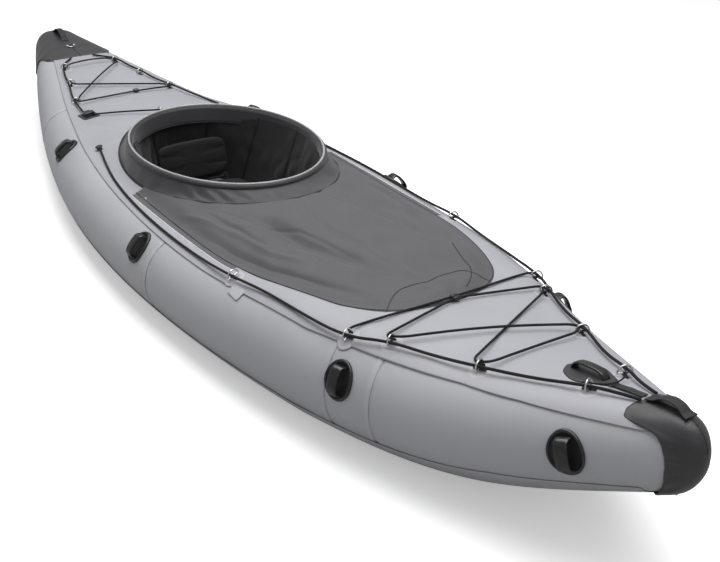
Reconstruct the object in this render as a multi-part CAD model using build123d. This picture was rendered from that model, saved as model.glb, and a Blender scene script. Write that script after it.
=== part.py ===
from build123d import *
import math
import os

# Inflatable single kayak with a fabric cockpit cover. Millimetres, +X to the bow, +Y to port,
# +Z up. The origin is on the ground, under the middle of the hull.

os.makedirs("parts", exist_ok=True)

# ---- driving dimensions -------------------------------------------------------------------
STATION_STEP = 450.0
STATION_FIRST = -1800.0
AXIS_Y = [8, 123, 225, 304, 332, 303, 219, 102, -58]       # side tube axis, out from the middle
TUBE_R = [60, 96, 115, 121, 122, 128, 145, 131, 84]        # side tube radius
KEEL_Z = [196, 72, 0, 0, 0, 0, 0, 55, 240]                 # underside of the hull
SKIN = 1.2                  # coated fabric thickness
GAP = 0.8                   # glue and weld thickness between two skins
GRID = 110.0                # spacing of the sections that every hull skin shares
TUBE_AFT = -1770.0
TUBE_FORE = 1752.0

DECK_CROWN = [0, 4, 14, 40, 52, 40, 14, 6, 0]              # deck height over the tube crests
DECK_WRAP = [84, 84, 82, 77, 70, 60, 50, 50, 50]           # degrees, where the deck is welded
KEEL_WRAP = -32.0           # degrees where the bottom skin is welded

RIM_X = -141.0              # cockpit coaming
RIM_Z = 322.0
RIM_A = 378.0
RIM_B = 275.0
HOOP_R = 8.0
BASE_A = 470.0              # collar seam on the cover
BASE_B = 296.0
COVER_FRONT = 1050.0
COVER_OUTLINE = [
    (-80, 322), (100, 321), (300, 317), (480, 310), (600, 297), (705, 276), (843, 236),
    (925, 204), (982, 165), (1023, 115), (1043, 60),
]

FLOOR_T = 75.0
FLOOR_AFT = -880.0
FLOOR_FORE = 880.0

FLOOR_TOP = SKIN + GAP + FLOOR_T

LINE_D = 6.0                # deck line
BUNGEE_D = 5.0
RING_WIRE = 4.0
RING_R = 16.0
RING_REST = 6.0             # bar of a ring above its patch

HANDLE_LONG = 98.0          # grab handle base, round the tube
HANDLE_WIDE = 84.0          # grab handle base, along the tube
HANDLE_STATIONS = [(-630, 52), (174, 40), (1058, 22), (1582, 6)]

VALVE_X = 420.0             # chamber valves, on the inner side of each tube
VALVE_ANGLE = 128.0
VALVE_HOLE = 20.0
FLOOR_VALVE = (300.0, 0.0)
BACK_PIVOT = (-395.0, FLOOR_TOP + 32.0)

SLIDE_FORE = (1047.0, 2.0)
SLIDE_AFT = (-990.0, 46.0)
BUCKLE_AT = (-842.0, 190.0)
KNOB_AT = (-480.0, 283.0)
AFT_RING_AT = (-655.0, 0.0)

RING_STATIONS = [                # x, y, and the slope of the line that runs through the ring
    (-1340, 100, 0.40), (-1175, 136, 0.23), (-996, 180, 0.22), (588, 332, -0.12),
    (1017, 265, -0.33), (1112, 213, -0.45), (1322, 137, -0.39), (1542, 46, -0.41),
]


# ---- hull form ----------------------------------------------------------------------------
def table(values, x):
    """Cubic Hermite interpolation of evenly spaced station values at position x."""
    t = (x - STATION_FIRST) / STATION_STEP
    i = int(min(max(math.floor(t), 0), len(values) - 2))
    u = t - i
    before = values[max(i - 1, 0)]
    after = values[min(i + 2, len(values) - 1)]
    m0 = (values[i + 1] - before) / (2 if i > 0 else 1)
    m1 = (after - values[i]) / (2 if i < len(values) - 2 else 1)
    h00 = 2 * u**3 - 3 * u**2 + 1
    h10 = u**3 - 2 * u**2 + u
    h01 = -2 * u**3 + 3 * u**2
    h11 = u**3 - u**2
    return h00 * values[i] + h10 * m0 + h01 * values[i + 1] + h11 * m1


def axis_y(x):
    return table(AXIS_Y, x)


def radius(x):
    """Radius of a side tube."""
    return table(TUBE_R, x)


def keel_z(x):
    return max(table(KEEL_Z, x), 0.0)


def axis_z(x):
    """The tube stands on the bottom skin, which touches the ground."""
    return keel_z(x) + SKIN + GAP + radius(x)


def tube_plane(side, x, angle=0.0, out=0.0):
    """Plane on a side tube: x along the tube, z out of it, angle up from the outer side."""
    e = 2.0
    c = math.cos(math.radians(angle))
    s = math.sin(math.radians(angle))
    dy = (axis_y(x + e) - axis_y(x - e)) / (2 * e)
    dz = (axis_z(x + e) - axis_z(x - e)) / (2 * e)
    dr = (radius(x + e) - radius(x - e)) / (2 * e)
    r = radius(x)
    foot = Vector(x, side * (axis_y(x) + r * c), axis_z(x) + r * s)
    normal = Vector(-(dy * c + dz * s + dr), side * c, s).normalized()
    along = Vector(1, side * (dy + dr * c), dz + dr * s)
    return Plane(origin=foot + normal * out, x_dir=along, z_dir=normal)


def deck_z(x, y, lift=0.0):
    """Top of the deck: round over the tubes, lightly crowned between their crests."""
    ay = max(axis_y(x), 0.0)
    r = radius(x) + lift
    d = abs(y) - ay
    if d > 0:
        return axis_z(x) + math.sqrt(max(r * r - d * d, 0.0))
    return axis_z(x) + r + table(DECK_CROWN, x) * (1 - (y / ay) ** 2) if ay > 30 else axis_z(x) + r


def deck_plane(x, y, lift, turn=0.0):
    """Plane lying on the deck: x forward, turned sideways by a slope, and z out."""
    e = 3.0
    sx = (deck_z(x + e, y, lift) - deck_z(x - e, y, lift)) / (2 * e)
    sy = (deck_z(x, y + e, lift) - deck_z(x, y - e, lift)) / (2 * e)
    ahead = (1, turn, sx + turn * sy)
    return Plane(origin=(x, y, deck_z(x, y, lift)), x_dir=ahead, z_dir=(-sx, -sy, 1))


def stations(first, last):
    """The ends, and the shared grid stations between them."""
    inner = [k * GRID for k in range(-20, 20) if first + 25 < k * GRID < last - 25]
    return [first] + inner + [last]


def save(node, shape):
    export_step(shape, "parts/" + node + ".step")
    print(node, round(shape.volume / 1000, 2), "cm3")


def group(solids):
    return Compound(children=list(solids))


# ---- inflated chambers --------------------------------------------------------------------
def tube_solid(side, inset):
    """Round chamber lofted through circles, its ends drawn in, cut flat where the two meet."""
    ends = [(0.0, 0.30), (0.06, 0.62), (0.2, 0.86), (0.45, 0.97)]
    sections = []
    for d, k in ends:
        sections.append((TUBE_AFT + inset + d * radius(TUBE_AFT), k))
    for x in stations(TUBE_AFT + 75, TUBE_FORE - 90):
        sections.append((x, 1.0))
    for d, k in reversed(ends):
        sections.append((TUBE_FORE - inset - d * radius(TUBE_FORE), k))
    faces = []
    for x, k in sections:
        plane = Plane(origin=(x, side * axis_y(x), axis_z(x)), x_dir=(0, 0, -1), z_dir=(1, 0, 0))
        faces.append(plane * Circle(k * radius(x) - inset))
    body = loft(faces, ruled=True)
    keep = Pos(0, side * (300 + GAP / 2 + inset), 150) * Box(4000, 600, 900)
    return body & keep


def side_tube(side):
    """Airtight skin of a side chamber, hollow, with the hole for its valve."""
    shell = tube_solid(side, 0) - tube_solid(side, SKIN)
    hole = tube_plane(side, VALVE_X, VALVE_ANGLE) * Cylinder(VALVE_HOLE, 60)
    return shell - hole


def floor_outline(inset):
    points = [(x, axis_y(x) - radius(x) + 3 - inset) for x in stations(FLOOR_AFT, FLOOR_FORE)]
    left = [Vector(x, y) for x, y in points]
    right = [Vector(x, -y) for x, y in reversed(points)]
    edges = Spline(left) + Line(left[-1], right[0]) + Spline(right) + Line(right[-1], left[0])
    return make_face(edges)


def floor_chamber():
    """High-pressure floor panel that lies on the bottom skin between the tubes."""
    z0 = SKIN + GAP
    outer = Pos(0, 0, z0) * extrude(floor_outline(0), FLOOR_T)
    inner = Pos(0, 0, z0 + SKIN) * extrude(floor_outline(SKIN), FLOOR_T - 2 * SKIN)
    hole = Pos(FLOOR_VALVE[0], FLOOR_VALVE[1], z0 + FLOOR_T) * Cylinder(VALVE_HOLE, 60)
    return outer - inner - hole


# ---- skins --------------------------------------------------------------------------------
def bottom_section(x):
    """One closed profile of the bottom skin: up the outer side of each tube, flat between."""
    p = Plane(origin=(x, 0, 0), x_dir=(0, 1, 0), z_dir=(1, 0, 0))
    ay = max(axis_y(x), 2.0)
    cz = axis_z(x)
    rows = []
    for r in (radius(x) + GAP, radius(x) + GAP + SKIN):
        rows.append([(ay + r * math.cos(math.radians(a)), cz + r * math.sin(math.radians(a)))
                     for a in (KEEL_WRAP, (KEEL_WRAP - 90) / 2, -90)])
    i, o = rows
    im = [(-y, z) for y, z in reversed(i)]
    om = [(-y, z) for y, z in reversed(o)]
    edges = ThreePointArc(*o) + Line(o[2], om[0]) + ThreePointArc(*om) + Line(om[2], im[2])
    edges += ThreePointArc(*reversed(im)) + Line(im[0], i[2])
    edges += ThreePointArc(*reversed(i)) + Line(i[0], o[0])
    return p * make_face(edges)


def bottom_skin():
    return loft([bottom_section(x) for x in stations(-1430, 1640)], ruled=True)


def deck_section(x, half, low, high):
    """Closed thin profile that follows the deck between -half and half."""
    ys = [half * k / 14 for k in range(-14, 15)]
    top = [(y, deck_z(x, y, high)) for y in ys]
    under = [(y, deck_z(x, y, low)) for y in reversed(ys)]
    edges = Spline(top) + Line(top[-1], under[0]) + Spline(under) + Line(under[-1], top[0])
    return Plane(origin=(x, 0, 0), x_dir=(0, 1, 0), z_dir=(1, 0, 0)) * make_face(edges)


def deck_half(x):
    return max(axis_y(x), 0.0) + radius(x) * math.cos(math.radians(table(DECK_WRAP, x)))


def deck_sheet(first, last, low, high):
    return loft([deck_section(x, deck_half(x), low, high) for x in stations(first, last)], ruled=True)


def cover_outline(grow):
    """Tongue-shaped outline of the cockpit cover, seen from above."""
    pts = [Vector(x + grow * (x / COVER_FRONT) ** 8, y + grow) for x, y in COVER_OUTLINE]
    tip = Vector(COVER_FRONT + grow, 0)
    mirrored = [Vector(p.X, -p.Y) for p in reversed(pts)]
    edges = Spline(pts + [tip] + mirrored) + Line(mirrored[-1], pts[0])
    return make_face(edges)


def oval(a, b, x=RIM_X, y=0.0):
    return Pos(x, y) * Ellipse(a, b)


def prism(face, z0=0.0, z1=600.0):
    return Pos(0, 0, z0) * extrude(face, z1 - z0)


def bow_deck():
    """Grey sheet from the cover's front edge to the bow cap, running under the cover's edge."""
    sheet = deck_sheet(430, 1640, GAP, GAP + SKIN)
    return sheet - prism(cover_outline(-16))


def stern_deck():
    """Grey sheet behind the cockpit."""
    sheet = deck_sheet(-1430, -300, GAP, GAP + SKIN)
    return sheet - prism(oval(BASE_A - 16, BASE_B - 16))


def side_deck(side):
    """Grey strip over the tube beside the cockpit, between the bow deck and the stern deck."""
    sheet = deck_sheet(-299.6, 429.6, GAP, GAP + SKIN)
    sheet = sheet - prism(cover_outline(-16)) - prism(oval(BASE_A - 16, BASE_B - 16))
    return sheet & (Pos(0, side * 300, 150) * Box(3600, 590, 900))


def cockpit_cover():
    """Dark fabric cover from the collar seam to the front edge."""
    sheet = deck_sheet(-300, COVER_FRONT + 60, 2 * GAP + SKIN, 2 * GAP + 2 * SKIN)
    return (sheet & prism(cover_outline(0))) - prism(oval(BASE_A + GAP, BASE_B + GAP))


def collar_section(degrees):
    """Thin slanted profile of the collar at one direction round the cockpit."""
    t = math.radians(degrees)
    bx = RIM_X + BASE_A * math.cos(t)
    by = BASE_B * math.sin(t)
    rx = RIM_X + (RIM_A + 3) * math.cos(t)
    ry = (RIM_B + 3) * math.sin(t)
    z0 = deck_z(bx, by, GAP + SKIN) + SKIN + 2 * GAP
    z1 = RIM_Z - HOOP_R - 2
    low = [Vector(bx, by, z0), Vector(rx, ry, z1)]
    high = [Vector(rx, ry, z1 + 1.5), Vector(bx, by, z0 + 1.5)]
    return make_face(Polyline(*low, *high, close=True))


def collar():
    """Sloping fabric band from the seam on the cover up to the coaming hoop."""
    halves = []
    for first in (0, 180):
        halves.append(loft([collar_section(first + 15 * k) for k in range(13)]))
    return halves[0] + halves[1]


def hoop():
    """Stiff tube that keeps the cockpit mouth open."""
    path = Pos(RIM_X, 0, RIM_Z) * Wire(Edge.make_ellipse(RIM_A, RIM_B))
    section = Plane(origin=path @ 0, x_dir=(1, 0, 0), z_dir=path % 0) * Circle(HOOP_R)
    return sweep(section, path=path)


def piping():
    """Bright welt along the top of the hoop."""
    path = Pos(RIM_X, 0, RIM_Z + HOOP_R + 2.6) * Wire(Edge.make_ellipse(RIM_A, RIM_B))
    section = Plane(origin=path @ 0, x_dir=(1, 0, 0), z_dir=path % 0) * Circle(2.0)
    return sweep(section, path=path)


def liner_wall(side):
    """Side wall of the leg space, along the tube from the rear walls forward."""
    z0 = FLOOR_TOP + 1
    faces = []
    for x, low, high, z1 in ((-81, 178, 255, 306), (40, 176, 227, 306), (120, 175, 184, 306),
                             (160, 173, 212, 250), (300, 158, 194, 222)):
        low = side * low
        high = side * high
        edges = Polyline((low, z0), (high, z1), (high - side * 1.5, z1), (low - side * 1.5, z0),
                         close=True)
        faces.append(Plane(origin=(x, 0, 0), x_dir=(0, 1, 0), z_dir=(1, 0, 0)) * make_face(edges))
    return loft(faces, ruled=True)


def liner():
    """Black inner lining: rear walls from the hoop to the floor, side walls in the leg space."""
    z1 = RIM_Z - HOOP_R - 2
    z0 = FLOOR_TOP + 1
    wall = lambda t: Solid.make_loft([
        Pos(RIM_X, 0, z0) * Wire(Edge.make_ellipse(400 - t, 180 - t)),
        Pos(RIM_X, 0, z1) * Wire(Edge.make_ellipse(RIM_A - 10 - t, RIM_B - 14 - t))])
    front = Pos(RIM_X + 60 + 400, 0, 200) * Box(800, 900, 400)
    return group([wall(0) - wall(1.5) - front, liner_wall(1), liner_wall(-1)])


def side_band(side):
    """Grey hem strip with a white edge along the cover, over the crest of the tube."""
    layer = deck_sheet(-180, 660, 2 * GAP + SKIN, 2 * GAP + SKIN + 1.2)
    strip_outline = prism(cover_outline(19)) - prism(cover_outline(1))
    keep = Pos(236, side * 300, 250) * Box(622, 500, 400)
    return layer & strip_outline & keep


# ---- end caps and handles at the ends -----------------------------------------------------
def end_half(x, grow):
    """Half width and half height of both tubes together near an end."""
    ay = axis_y(x)
    r = radius(x)
    high = math.sqrt(r * r - min(ay, 0) ** 2)
    return ay + r + grow, high + grow


def end_face(x, grow, shrink):
    """Outline of a cap round both tubes: an oval where they merge, a slot where they part."""
    w, h = end_half(x, grow)
    plane = Plane(origin=(x, 0, axis_z(x)), x_dir=(0, 1, 0), z_dir=(1, 0, 0))
    if x > 0:
        return plane * Ellipse(w * shrink, h * shrink)
    a = axis_y(x) * shrink
    r = h * shrink
    edges = ThreePointArc((a, -r), (a + r, 0), (a, r)) + Line((a, r), (-a, r))
    edges += ThreePointArc((-a, r), (-a - r, 0), (-a, -r)) + Line((-a, -r), (a, -r))
    return plane * make_face(edges)


def end_cap(points):
    """Cap lofted over both tube ends, less the room that the tubes take."""
    cap = loft([end_face(x, grow, shrink) for x, grow, shrink in points], ruled=True)
    return cap - tube_solid(1, -GAP) - tube_solid(-1, -GAP)


def bow_cap():
    points = [(1644, 4, 1), (1680, 4, 1), (1715, 4, 1), (1745, 4, 1), (1770, 3, 0.98),
              (1788, 2, 0.86), (1797, 1, 0.66), (1800, 0, 0.4)]
    return end_cap(points)


def stern_cap():
    points = [(-1440, 4, 1), (-1530, 4, 1), (-1620, 4, 1), (-1700, 4, 1), (-1750, 4, 1),
              (-1780, 3, 0.93), (-1794, 1, 0.74), (-1800, 0, 0.45)]
    return end_cap(points)


# ---- fittings -----------------------------------------------------------------------------
PATCH = 0.9
PAD_LIFT = 2 * GAP + SKIN + PATCH + 0.3


def ring_plane(side, station, out=GAP + SKIN):
    """Plane on the deck for a fitting, x along the line through it and z out of the deck."""
    turn = station[2] if len(station) > 2 else 0.0
    return deck_plane(station[0], side * station[1], out, side * turn)


def deck_pads(outlines, first, last):
    """Pieces of thin sheet welded on the deck, cut from one layer to each outline."""
    layer = deck_sheet(first, last, 2 * GAP + SKIN, 2 * GAP + SKIN + PATCH)
    return group([layer & prism(outline) for outline in outlines])


def ring_patches():
    outlines = [Pos(s[0], side * s[1]) * Circle(25) for s in RING_STATIONS for side in (1, -1)]
    aft = deck_pads(outlines[:6], -1430, -880)
    fore = deck_pads(outlines[6:], 540, 1600)
    return group(aft.solids() + fore.solids())


def ring_tab(side, station):
    """Webbing keeper welded on the patch, with the channel for the ring's bar."""
    plane = ring_plane(side, station, PAD_LIFT)
    tab = Pos(0, 0, 1.6) * Box(30, 6, 2.4) + Pos(0, 0, RING_REST - 0.4) * Rot(90, 0, 0) * Cylinder(3.4, 4)
    tab = tab - Pos(0, 0, RING_REST) * Rot(90, 0, 0) * Cylinder(RING_WIRE / 2 + 0.2, 40)
    return plane * tab


def d_ring():
    """Steel D: a straight bar along y and a half ring above it."""
    w = RING_WIRE / 2
    bar = Rot(90, 0, 0) * Cylinder(w, 2 * RING_R + 4.4)
    arc = Plane.YZ * Torus(RING_R, w - 0.12, major_angle=180, align=None)
    return bar + arc


def placed_ring(side, station):
    return ring_plane(side, station, PAD_LIFT) * Pos(0, 0, RING_REST) * d_ring()


def handle_plane(side, station):
    return tube_plane(side, station[0], station[1], 0)


def handle_base(side, station):
    """Moulded oval base with a raised rim and a shallow dish, saddled on the tube."""
    r = radius(station[0])
    base = extrude(Ellipse(HANDLE_WIDE / 2, HANDLE_LONG / 2), 14)
    rim = extrude(Ellipse(HANDLE_WIDE / 2 - 9, HANDLE_LONG / 2 - 9), 10)
    body = Pos(0, 0, -8) * base - Pos(0, 0, 2) * rim
    saddle = Pos(0, 0, -r) * Rot(0, 90, 0) * Cylinder(r + 0.4, 300)
    return handle_plane(side, station) * (body - saddle)


def handle_post(side, station, end):
    """Foot of the grip: a block that stands in the dish."""
    post = Pos(0, end * 25, 2 + GAP + 9.5) * Box(30, 9, 19)
    return handle_plane(side, station) * post


def handle_bar(side, station):
    """Grip across the dish, on the two feet, thicker in the middle."""
    profile = Polyline((-34, 22.6), (-26, 30.4), (26, 30.4), (34, 22.6), close=True)
    bar = extrude(Plane.YZ * make_face(profile), 17, both=True)
    return handle_plane(side, station) * bar


def bow_patch():
    """Flat teardrop plate welded on the bow deck."""
    outline = Spline(
        (1432, 8), (1450, 30), (1490, 42), (1530, 28), (1560, 13), (1560, -13), (1530, -28),
        (1490, -42), (1450, -30), (1432, -8), periodic=True)
    plane = deck_plane(1495, 0, GAP + SKIN)
    flat = Pos(-1495, 0, 0) * make_face(outline)
    plate = Pos(0, 0, 1.0) * extrude(flat, 3.0)
    for dx in (-34, 34):
        plate = plate + Pos(dx, 0, 8.5) * Box(16, 19, 9.4)
    return plane * plate


def bow_grip():
    """Bridge handle along the plate."""
    plane = deck_plane(1495, 0, GAP + SKIN)
    profile = Polyline((-44, 13.4), (-34, 22), (34, 22), (44, 13.4), close=True)
    return plane * extrude(Plane.XZ * make_face(profile), 9.5, both=True)


def strip(points, width, thick):
    """Flat webbing that follows points in the x-z plane, width along y."""
    top = [Vector(x, 0, z + thick) for x, z in points]
    low = [Vector(x, 0, z) for x, z in reversed(points)]
    edges = Spline(top) + Line(top[-1], low[0]) + Spline(low) + Line(low[-1], top[0])
    return extrude(make_face(edges), width / 2, both=True)


def bow_strap():
    """Webbing from the plate to the cap."""
    zs = [(x, deck_z(x, 0, GAP + SKIN) + 3.2) for x in (1567, 1590, 1615, 1636)]
    return strip(zs, 16, 1.5)


def cap_top(x, grow=4):
    w, h = end_half(x, grow)
    return axis_z(x) + h


def bow_cap_handle():
    """Carrying band that bridges over the bow cap."""
    pts = [(1652, 2), (1668, 5), (1684, 19), (1705, 24), (1726, 19), (1740, 5), (1752, 2)]
    return strip([(x, cap_top(x) + dz) for x, dz in pts], 26, 3)


def bow_cap_tabs():
    """Glued ends of the carrying band."""
    tabs = []
    for x in (1660, 1746):
        slope = math.degrees(math.atan2(cap_top(x + 4) - cap_top(x - 4), 8))
        tabs.append(Pos(x, 0, cap_top(x) + 0.9) * Rot(0, -slope, 0) * Box(22, 34, 1.2))
    return tabs


def stern_handle():
    """Carrying band that bridges over the stern cap."""
    pts = [(-1742, 2), (-1728, 5), (-1710, 20), (-1680, 26), (-1650, 20), (-1632, 5), (-1618, 2)]
    return strip([(x, cap_top(x) + dz) for x, dz in pts], 25, 3)


def stern_ring_plane():
    x = -1560.0
    slope = math.degrees(math.atan2(cap_top(x + 4) - cap_top(x - 4), 8))
    return Pos(x, 0, cap_top(x) + 0.4) * Rot(0, -slope, 0)


def stern_ring_tab():
    tab = Pos(-9, 0, 1.6) * Box(34, 18, 2.4) + Pos(0, 0, RING_REST) * Rot(90, 0, 0) * Cylinder(4.2, 18)
    tab = tab - Pos(0, 0, RING_REST) * Rot(90, 0, 0) * Cylinder(RING_WIRE / 2 + 0.06, 40)
    return stern_ring_plane() * tab


def stern_ring():
    """Loose towing ring: it lies forward on the cap and swings up and back."""
    return stern_ring_plane() * Pos(0, 0, RING_REST) * Rot(0, 90, 0) * d_ring()


# ---- valves -------------------------------------------------------------------------------
def valve_planes():
    planes = [tube_plane(side, VALVE_X, VALVE_ANGLE) for side in (1, -1)]
    floor = Plane(origin=(FLOOR_VALVE[0], FLOOR_VALVE[1], SKIN + GAP + FLOOR_T), z_dir=(0, 0, 1))
    return planes + [floor]


def valve_body():
    """Flange on the skin with a barrel through it and a seat for the spring-loaded stem."""
    flange = Pos(0, 0, 3.2) * Cylinder(29, 2.4)
    barrel = Pos(0, 0, -9) * Cylinder(VALVE_HOLE - 0.5, 27)
    neck = Pos(0, 0, 8) * Cylinder(21, 8)
    bore = Pos(0, 0, 0) * Cylinder(15, 60)
    bridge = Pos(0, 0, -18) * (Box(32, 5, 4) + Box(5, 32, 4))
    stem_way = Pos(0, 0, -18) * Cylinder(3.06, 10)
    return (flange + barrel + neck - bore + bridge) - stem_way


def valve_stem():
    """Stem with its button on top and the sealing disc below."""
    stem = Pos(0, 0, -10) * Cylinder(3, 28)
    button = Pos(0, 0, 5) * Cylinder(6.5, 3)
    disc = Pos(0, 0, -24.5) * Cylinder(13, 3)
    return stem + button + disc


def valve_cap():
    """Twist cap over the neck."""
    cup = Pos(0, 0, 9.5) * Cylinder(25, 10) - Pos(0, 0, 7.8) * Cylinder(21.5, 9)
    grip = Pos(0, 0, 16.4) * Box(34, 6, 4.2)
    return cup + grip


# ---- inside the cockpit -------------------------------------------------------------------
def seat():
    """Seat cushion on the floor panel."""
    pad = Pos(-215, 0, FLOOR_TOP + 1 + 20) * Box(290, 300, 40)
    pad = fillet(pad.edges().filter_by(Axis.Z), 45)
    return fillet(pad.edges().group_by(Axis.Z)[-1], 12)


def seat_lugs():
    """Two plastic lugs that carry the pin of the backrest."""
    x, z = BACK_PIVOT
    lugs = []
    for y in (-112, 112):
        foot = Pos(x, y, FLOOR_TOP + 1 + 3) * Box(40, 12, 6)
        ear = Pos(x, y, FLOOR_TOP + 22) * Box(22, 12, 36)
        ear = ear - Pos(x, y, z) * Rot(90, 0, 0) * Cylinder(5.06, 40)
        lugs.append(foot + ear)
    return group(lugs)


def backrest_frame():
    """Pin and stiff plate of the backrest."""
    x, z = BACK_PIVOT
    pin = Pos(x, 0, z) * Rot(90, 0, 0) * Cylinder(5, 240)
    plate = Pos(x, 0, z) * Rot(0, -14, 0) * Pos(0, 0, 62) * Box(4, 196, 124)
    return pin + plate


def backrest_pad():
    x, z = BACK_PIVOT
    pad = Pos(14.3, 0, 76) * Box(24, 240, 124)
    pad = fillet(pad.edges().filter_by(Axis.X), 28)
    return Pos(x, 0, z) * Rot(0, -14, 0) * pad


def foot_rails():
    rails = []
    for y in (-88, 88):
        rail = Pos(560, y, FLOOR_TOP + 1 + 6) * Box(420, 16, 12)
        rail = rail - Pos(560, y, FLOOR_TOP + 1 + 9) * Box(400, 8.6, 10)
        rails.append(rail)
    return group(rails)


def footrest():
    """Foot bar that slides along the two rails."""
    shoes = [Pos(560, y, FLOOR_TOP + 1 + 11) * Box(60, 8, 9) for y in (-88, 88)]
    blocks = [Pos(560, y, FLOOR_TOP + 1 + 22) * Box(56, 18, 18) for y in (-88, 88)]
    bar = Pos(560, 0, FLOOR_TOP + 1 + 50) * Rot(90, 0, 0) * Cylinder(24, 196)
    body = bar
    for s in shoes + blocks:
        body = body + s
    return body


# ---- lines --------------------------------------------------------------------------------
def cord(points, dia):
    """Round cord along points, each bend as wide as its two runs allow."""
    pts = [Vector(*points[0])]
    for here, after in zip(points[1:], points[2:]):
        b = Vector(*here)
        if (b - pts[-1]).get_angle(Vector(*after) - b) > 0.5:
            pts.append(b)
    pts.append(Vector(*points[-1]))
    radii = []
    for a, b, c in zip(pts, pts[1:], pts[2:]):
        u = b - a
        v = c - b
        turn = math.radians(u.get_angle(v))
        radii.append(0.45 * min(u.length, v.length) / math.tan(turn / 2))
    path = FilletPolyline(*pts, radius=radii).wire()
    section = Plane(origin=path @ 0, z_dir=path % 0) * Circle(dia / 2)
    tube = sweep(section, path=path)
    ratio = tube.volume / (path.length * math.pi * dia * dia / 4)
    print("   runs", len(pts) - 1, "length", round(path.length), "bend", round(min(radii)),
          "ratio", round(ratio, 3))
    return tube


def on_tube(side, x, y, h):
    """Point at height h off the deck skin over the tube, y out from the middle."""
    p = ring_plane(side, (x, y), GAP + SKIN + h)
    return (p.origin.X, p.origin.Y, p.origin.Z)


def over(x, y, h):
    """Point at height h over the deck."""
    return (x, y, deck_z(x, y, GAP + SKIN) + h)


def lane(side, k, along, number):
    """Point in ring k: lane 0 is outboard, 1 in the middle, 2 inboard."""
    y, z = [(7.6 * side, 13), (0, 14), (-7.6 * side, 13)][number]
    plane = ring_plane(side, RING_STATIONS[k], PAD_LIFT)
    p = (plane * Pos(along, y, z)).position
    return (p.X, p.Y, p.Z)


def perimeter_bow(side):
    """From the bow cap through the rings, then along the cover's hem to its end stop."""
    pts = [(1648, side * 20, cap_top(1648) + 3), over(1600, side * 30, 9)]
    pts += [lane(side, 7, 0, 0), on_tube(side, 1435, 93, 8), lane(side, 6, 0, 0)]
    pts += [on_tube(side, 1215, 182, 8), lane(side, 5, 0, 0), lane(side, 4, 0, 0)]
    pts += [on_tube(side, 860, 300, 8), on_tube(side, 720, 316, 8), lane(side, 3, 0, 0)]
    pts += [on_tube(side, 430, 352, 6), on_tube(side, 250, 361, 6), on_tube(side, 70, 361, 6)]
    pts += [on_tube(side, -110, 351, 6), on_tube(side, -290, 328, 6)]
    pts += [on_tube(side, KNOB_AT[0] + 12, KNOB_AT[1] + 3, 7)]
    return cord(pts, LINE_D)


def perimeter_stern(side):
    """From the stern cap through the rear rings."""
    pts = [(-1432, side * 44, deck_z(-1432, 44, 2) + 6), on_tube(side, -1392, 80, 8)]
    pts += [lane(side, 0, 0, 0), on_tube(side, -1258, 130, 8), lane(side, 1, 0, 0)]
    pts += [on_tube(side, -1085, 167, 8), lane(side, 2, 0, 0)]
    if side < 0:
        return cord(pts + [on_tube(side, BUCKLE_AT[0] - 42, BUCKLE_AT[1] + 6, 9)], LINE_D)
    return cord(pts + [on_tube(side, -840, 226, 7), on_tube(side, -700, 240, 7)], LINE_D)


def ring_end(side, k, number, fore):
    """The last two points of a bungee that turns through ring k."""
    reach = 13 if number == 2 else 21
    return [lane(side, k, fore * reach, number), lane(side, k, -fore * 13, number)]


def hug(a, b, count, h):
    """Points between a and b that keep off the deck."""
    pts = []
    for k in range(1, count + 1):
        t = k / (count + 1)
        x = a[0] + (b[0] - a[0]) * t
        y = a[1] + (b[1] - a[1]) * t
        z = a[2] + (b[2] - a[2]) * t
        pts.append((x, y, max(over(x, y, 5.5)[2], z) + h * math.sin(math.pi * t)))
    return pts


def lacing(start, end, via, count, h, dia=BUNGEE_D):
    """Bungee from one ring to another; start and end are (side, ring, lane, fore)."""
    a = list(reversed(ring_end(*start)))
    b = ring_end(*end)
    stops = [a[-1]] + via + [b[0]]
    pts = list(a)
    for p, q in zip(stops, stops[1:]):
        near = math.dist(p, q) < 40
        pts += ([] if near else hug(p, q, count, h)) + [q]
    pts.append(b[1])
    return cord(pts, dia)


def through(at, along, height):
    """Two points that take a bungee straight through one channel of a slide clip."""
    z = over(at[0], at[1], height)[2]
    return [(at[0] + along, at[1] + dy, z) for dy in (-17, 17)]


def slide_clip(at, height):
    """Small block with two channels that pinches two bungees together."""
    z = over(at[0], at[1], height)[2]
    block = Pos(at[0], at[1], z) * Box(24, 18, 11)
    for dx in (-5.5, 5.5):
        block = block - Pos(at[0] + dx, at[1], z) * Rot(90, 0, 0) * Cylinder(3.3, 60)
    return block


def knob(side):
    """End stop of the deck line."""
    plane = ring_plane(side, KNOB_AT, GAP + SKIN + 0.5)
    return plane * (Pos(0, 0, 5) * Cylinder(9, 10) + Pos(0, 0, 11) * Cylinder(12, 4))


def buckle_plane():
    return ring_plane(-1, BUCKLE_AT, PAD_LIFT - 2.5)


def buckle_pad():
    outline = Pos(BUCKLE_AT[0], -BUCKLE_AT[1]) * Rectangle(84, 62)
    return deck_pads([outline], -1000, -700)


def buckle_body():
    """Cam buckle with two cheeks that carry the lever's pin."""
    base = Pos(0, 0, 4.6) * Box(44, 34, 3)
    cheeks = Pos(6, 15, 11) * Box(24, 3, 12) + Pos(6, -15, 11) * Box(24, 3, 12)
    body = base + cheeks
    return buckle_plane() * (body - Pos(10, 0, 12) * Rot(90, 0, 0) * Cylinder(2.05, 60))


def buckle_lever():
    """Cam lever, closed when it lies on the base."""
    pin = Pos(10, 0, 12) * Rot(90, 0, 0) * Cylinder(2, 32)
    cam = Pos(10, 0, 12) * Rot(90, 0, 0) * Cylinder(4.2, 25)
    blade = Pos(-6, 0, 13.4) * Box(34, 25, 3)
    return buckle_plane() * (pin + cam + blade)


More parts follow.
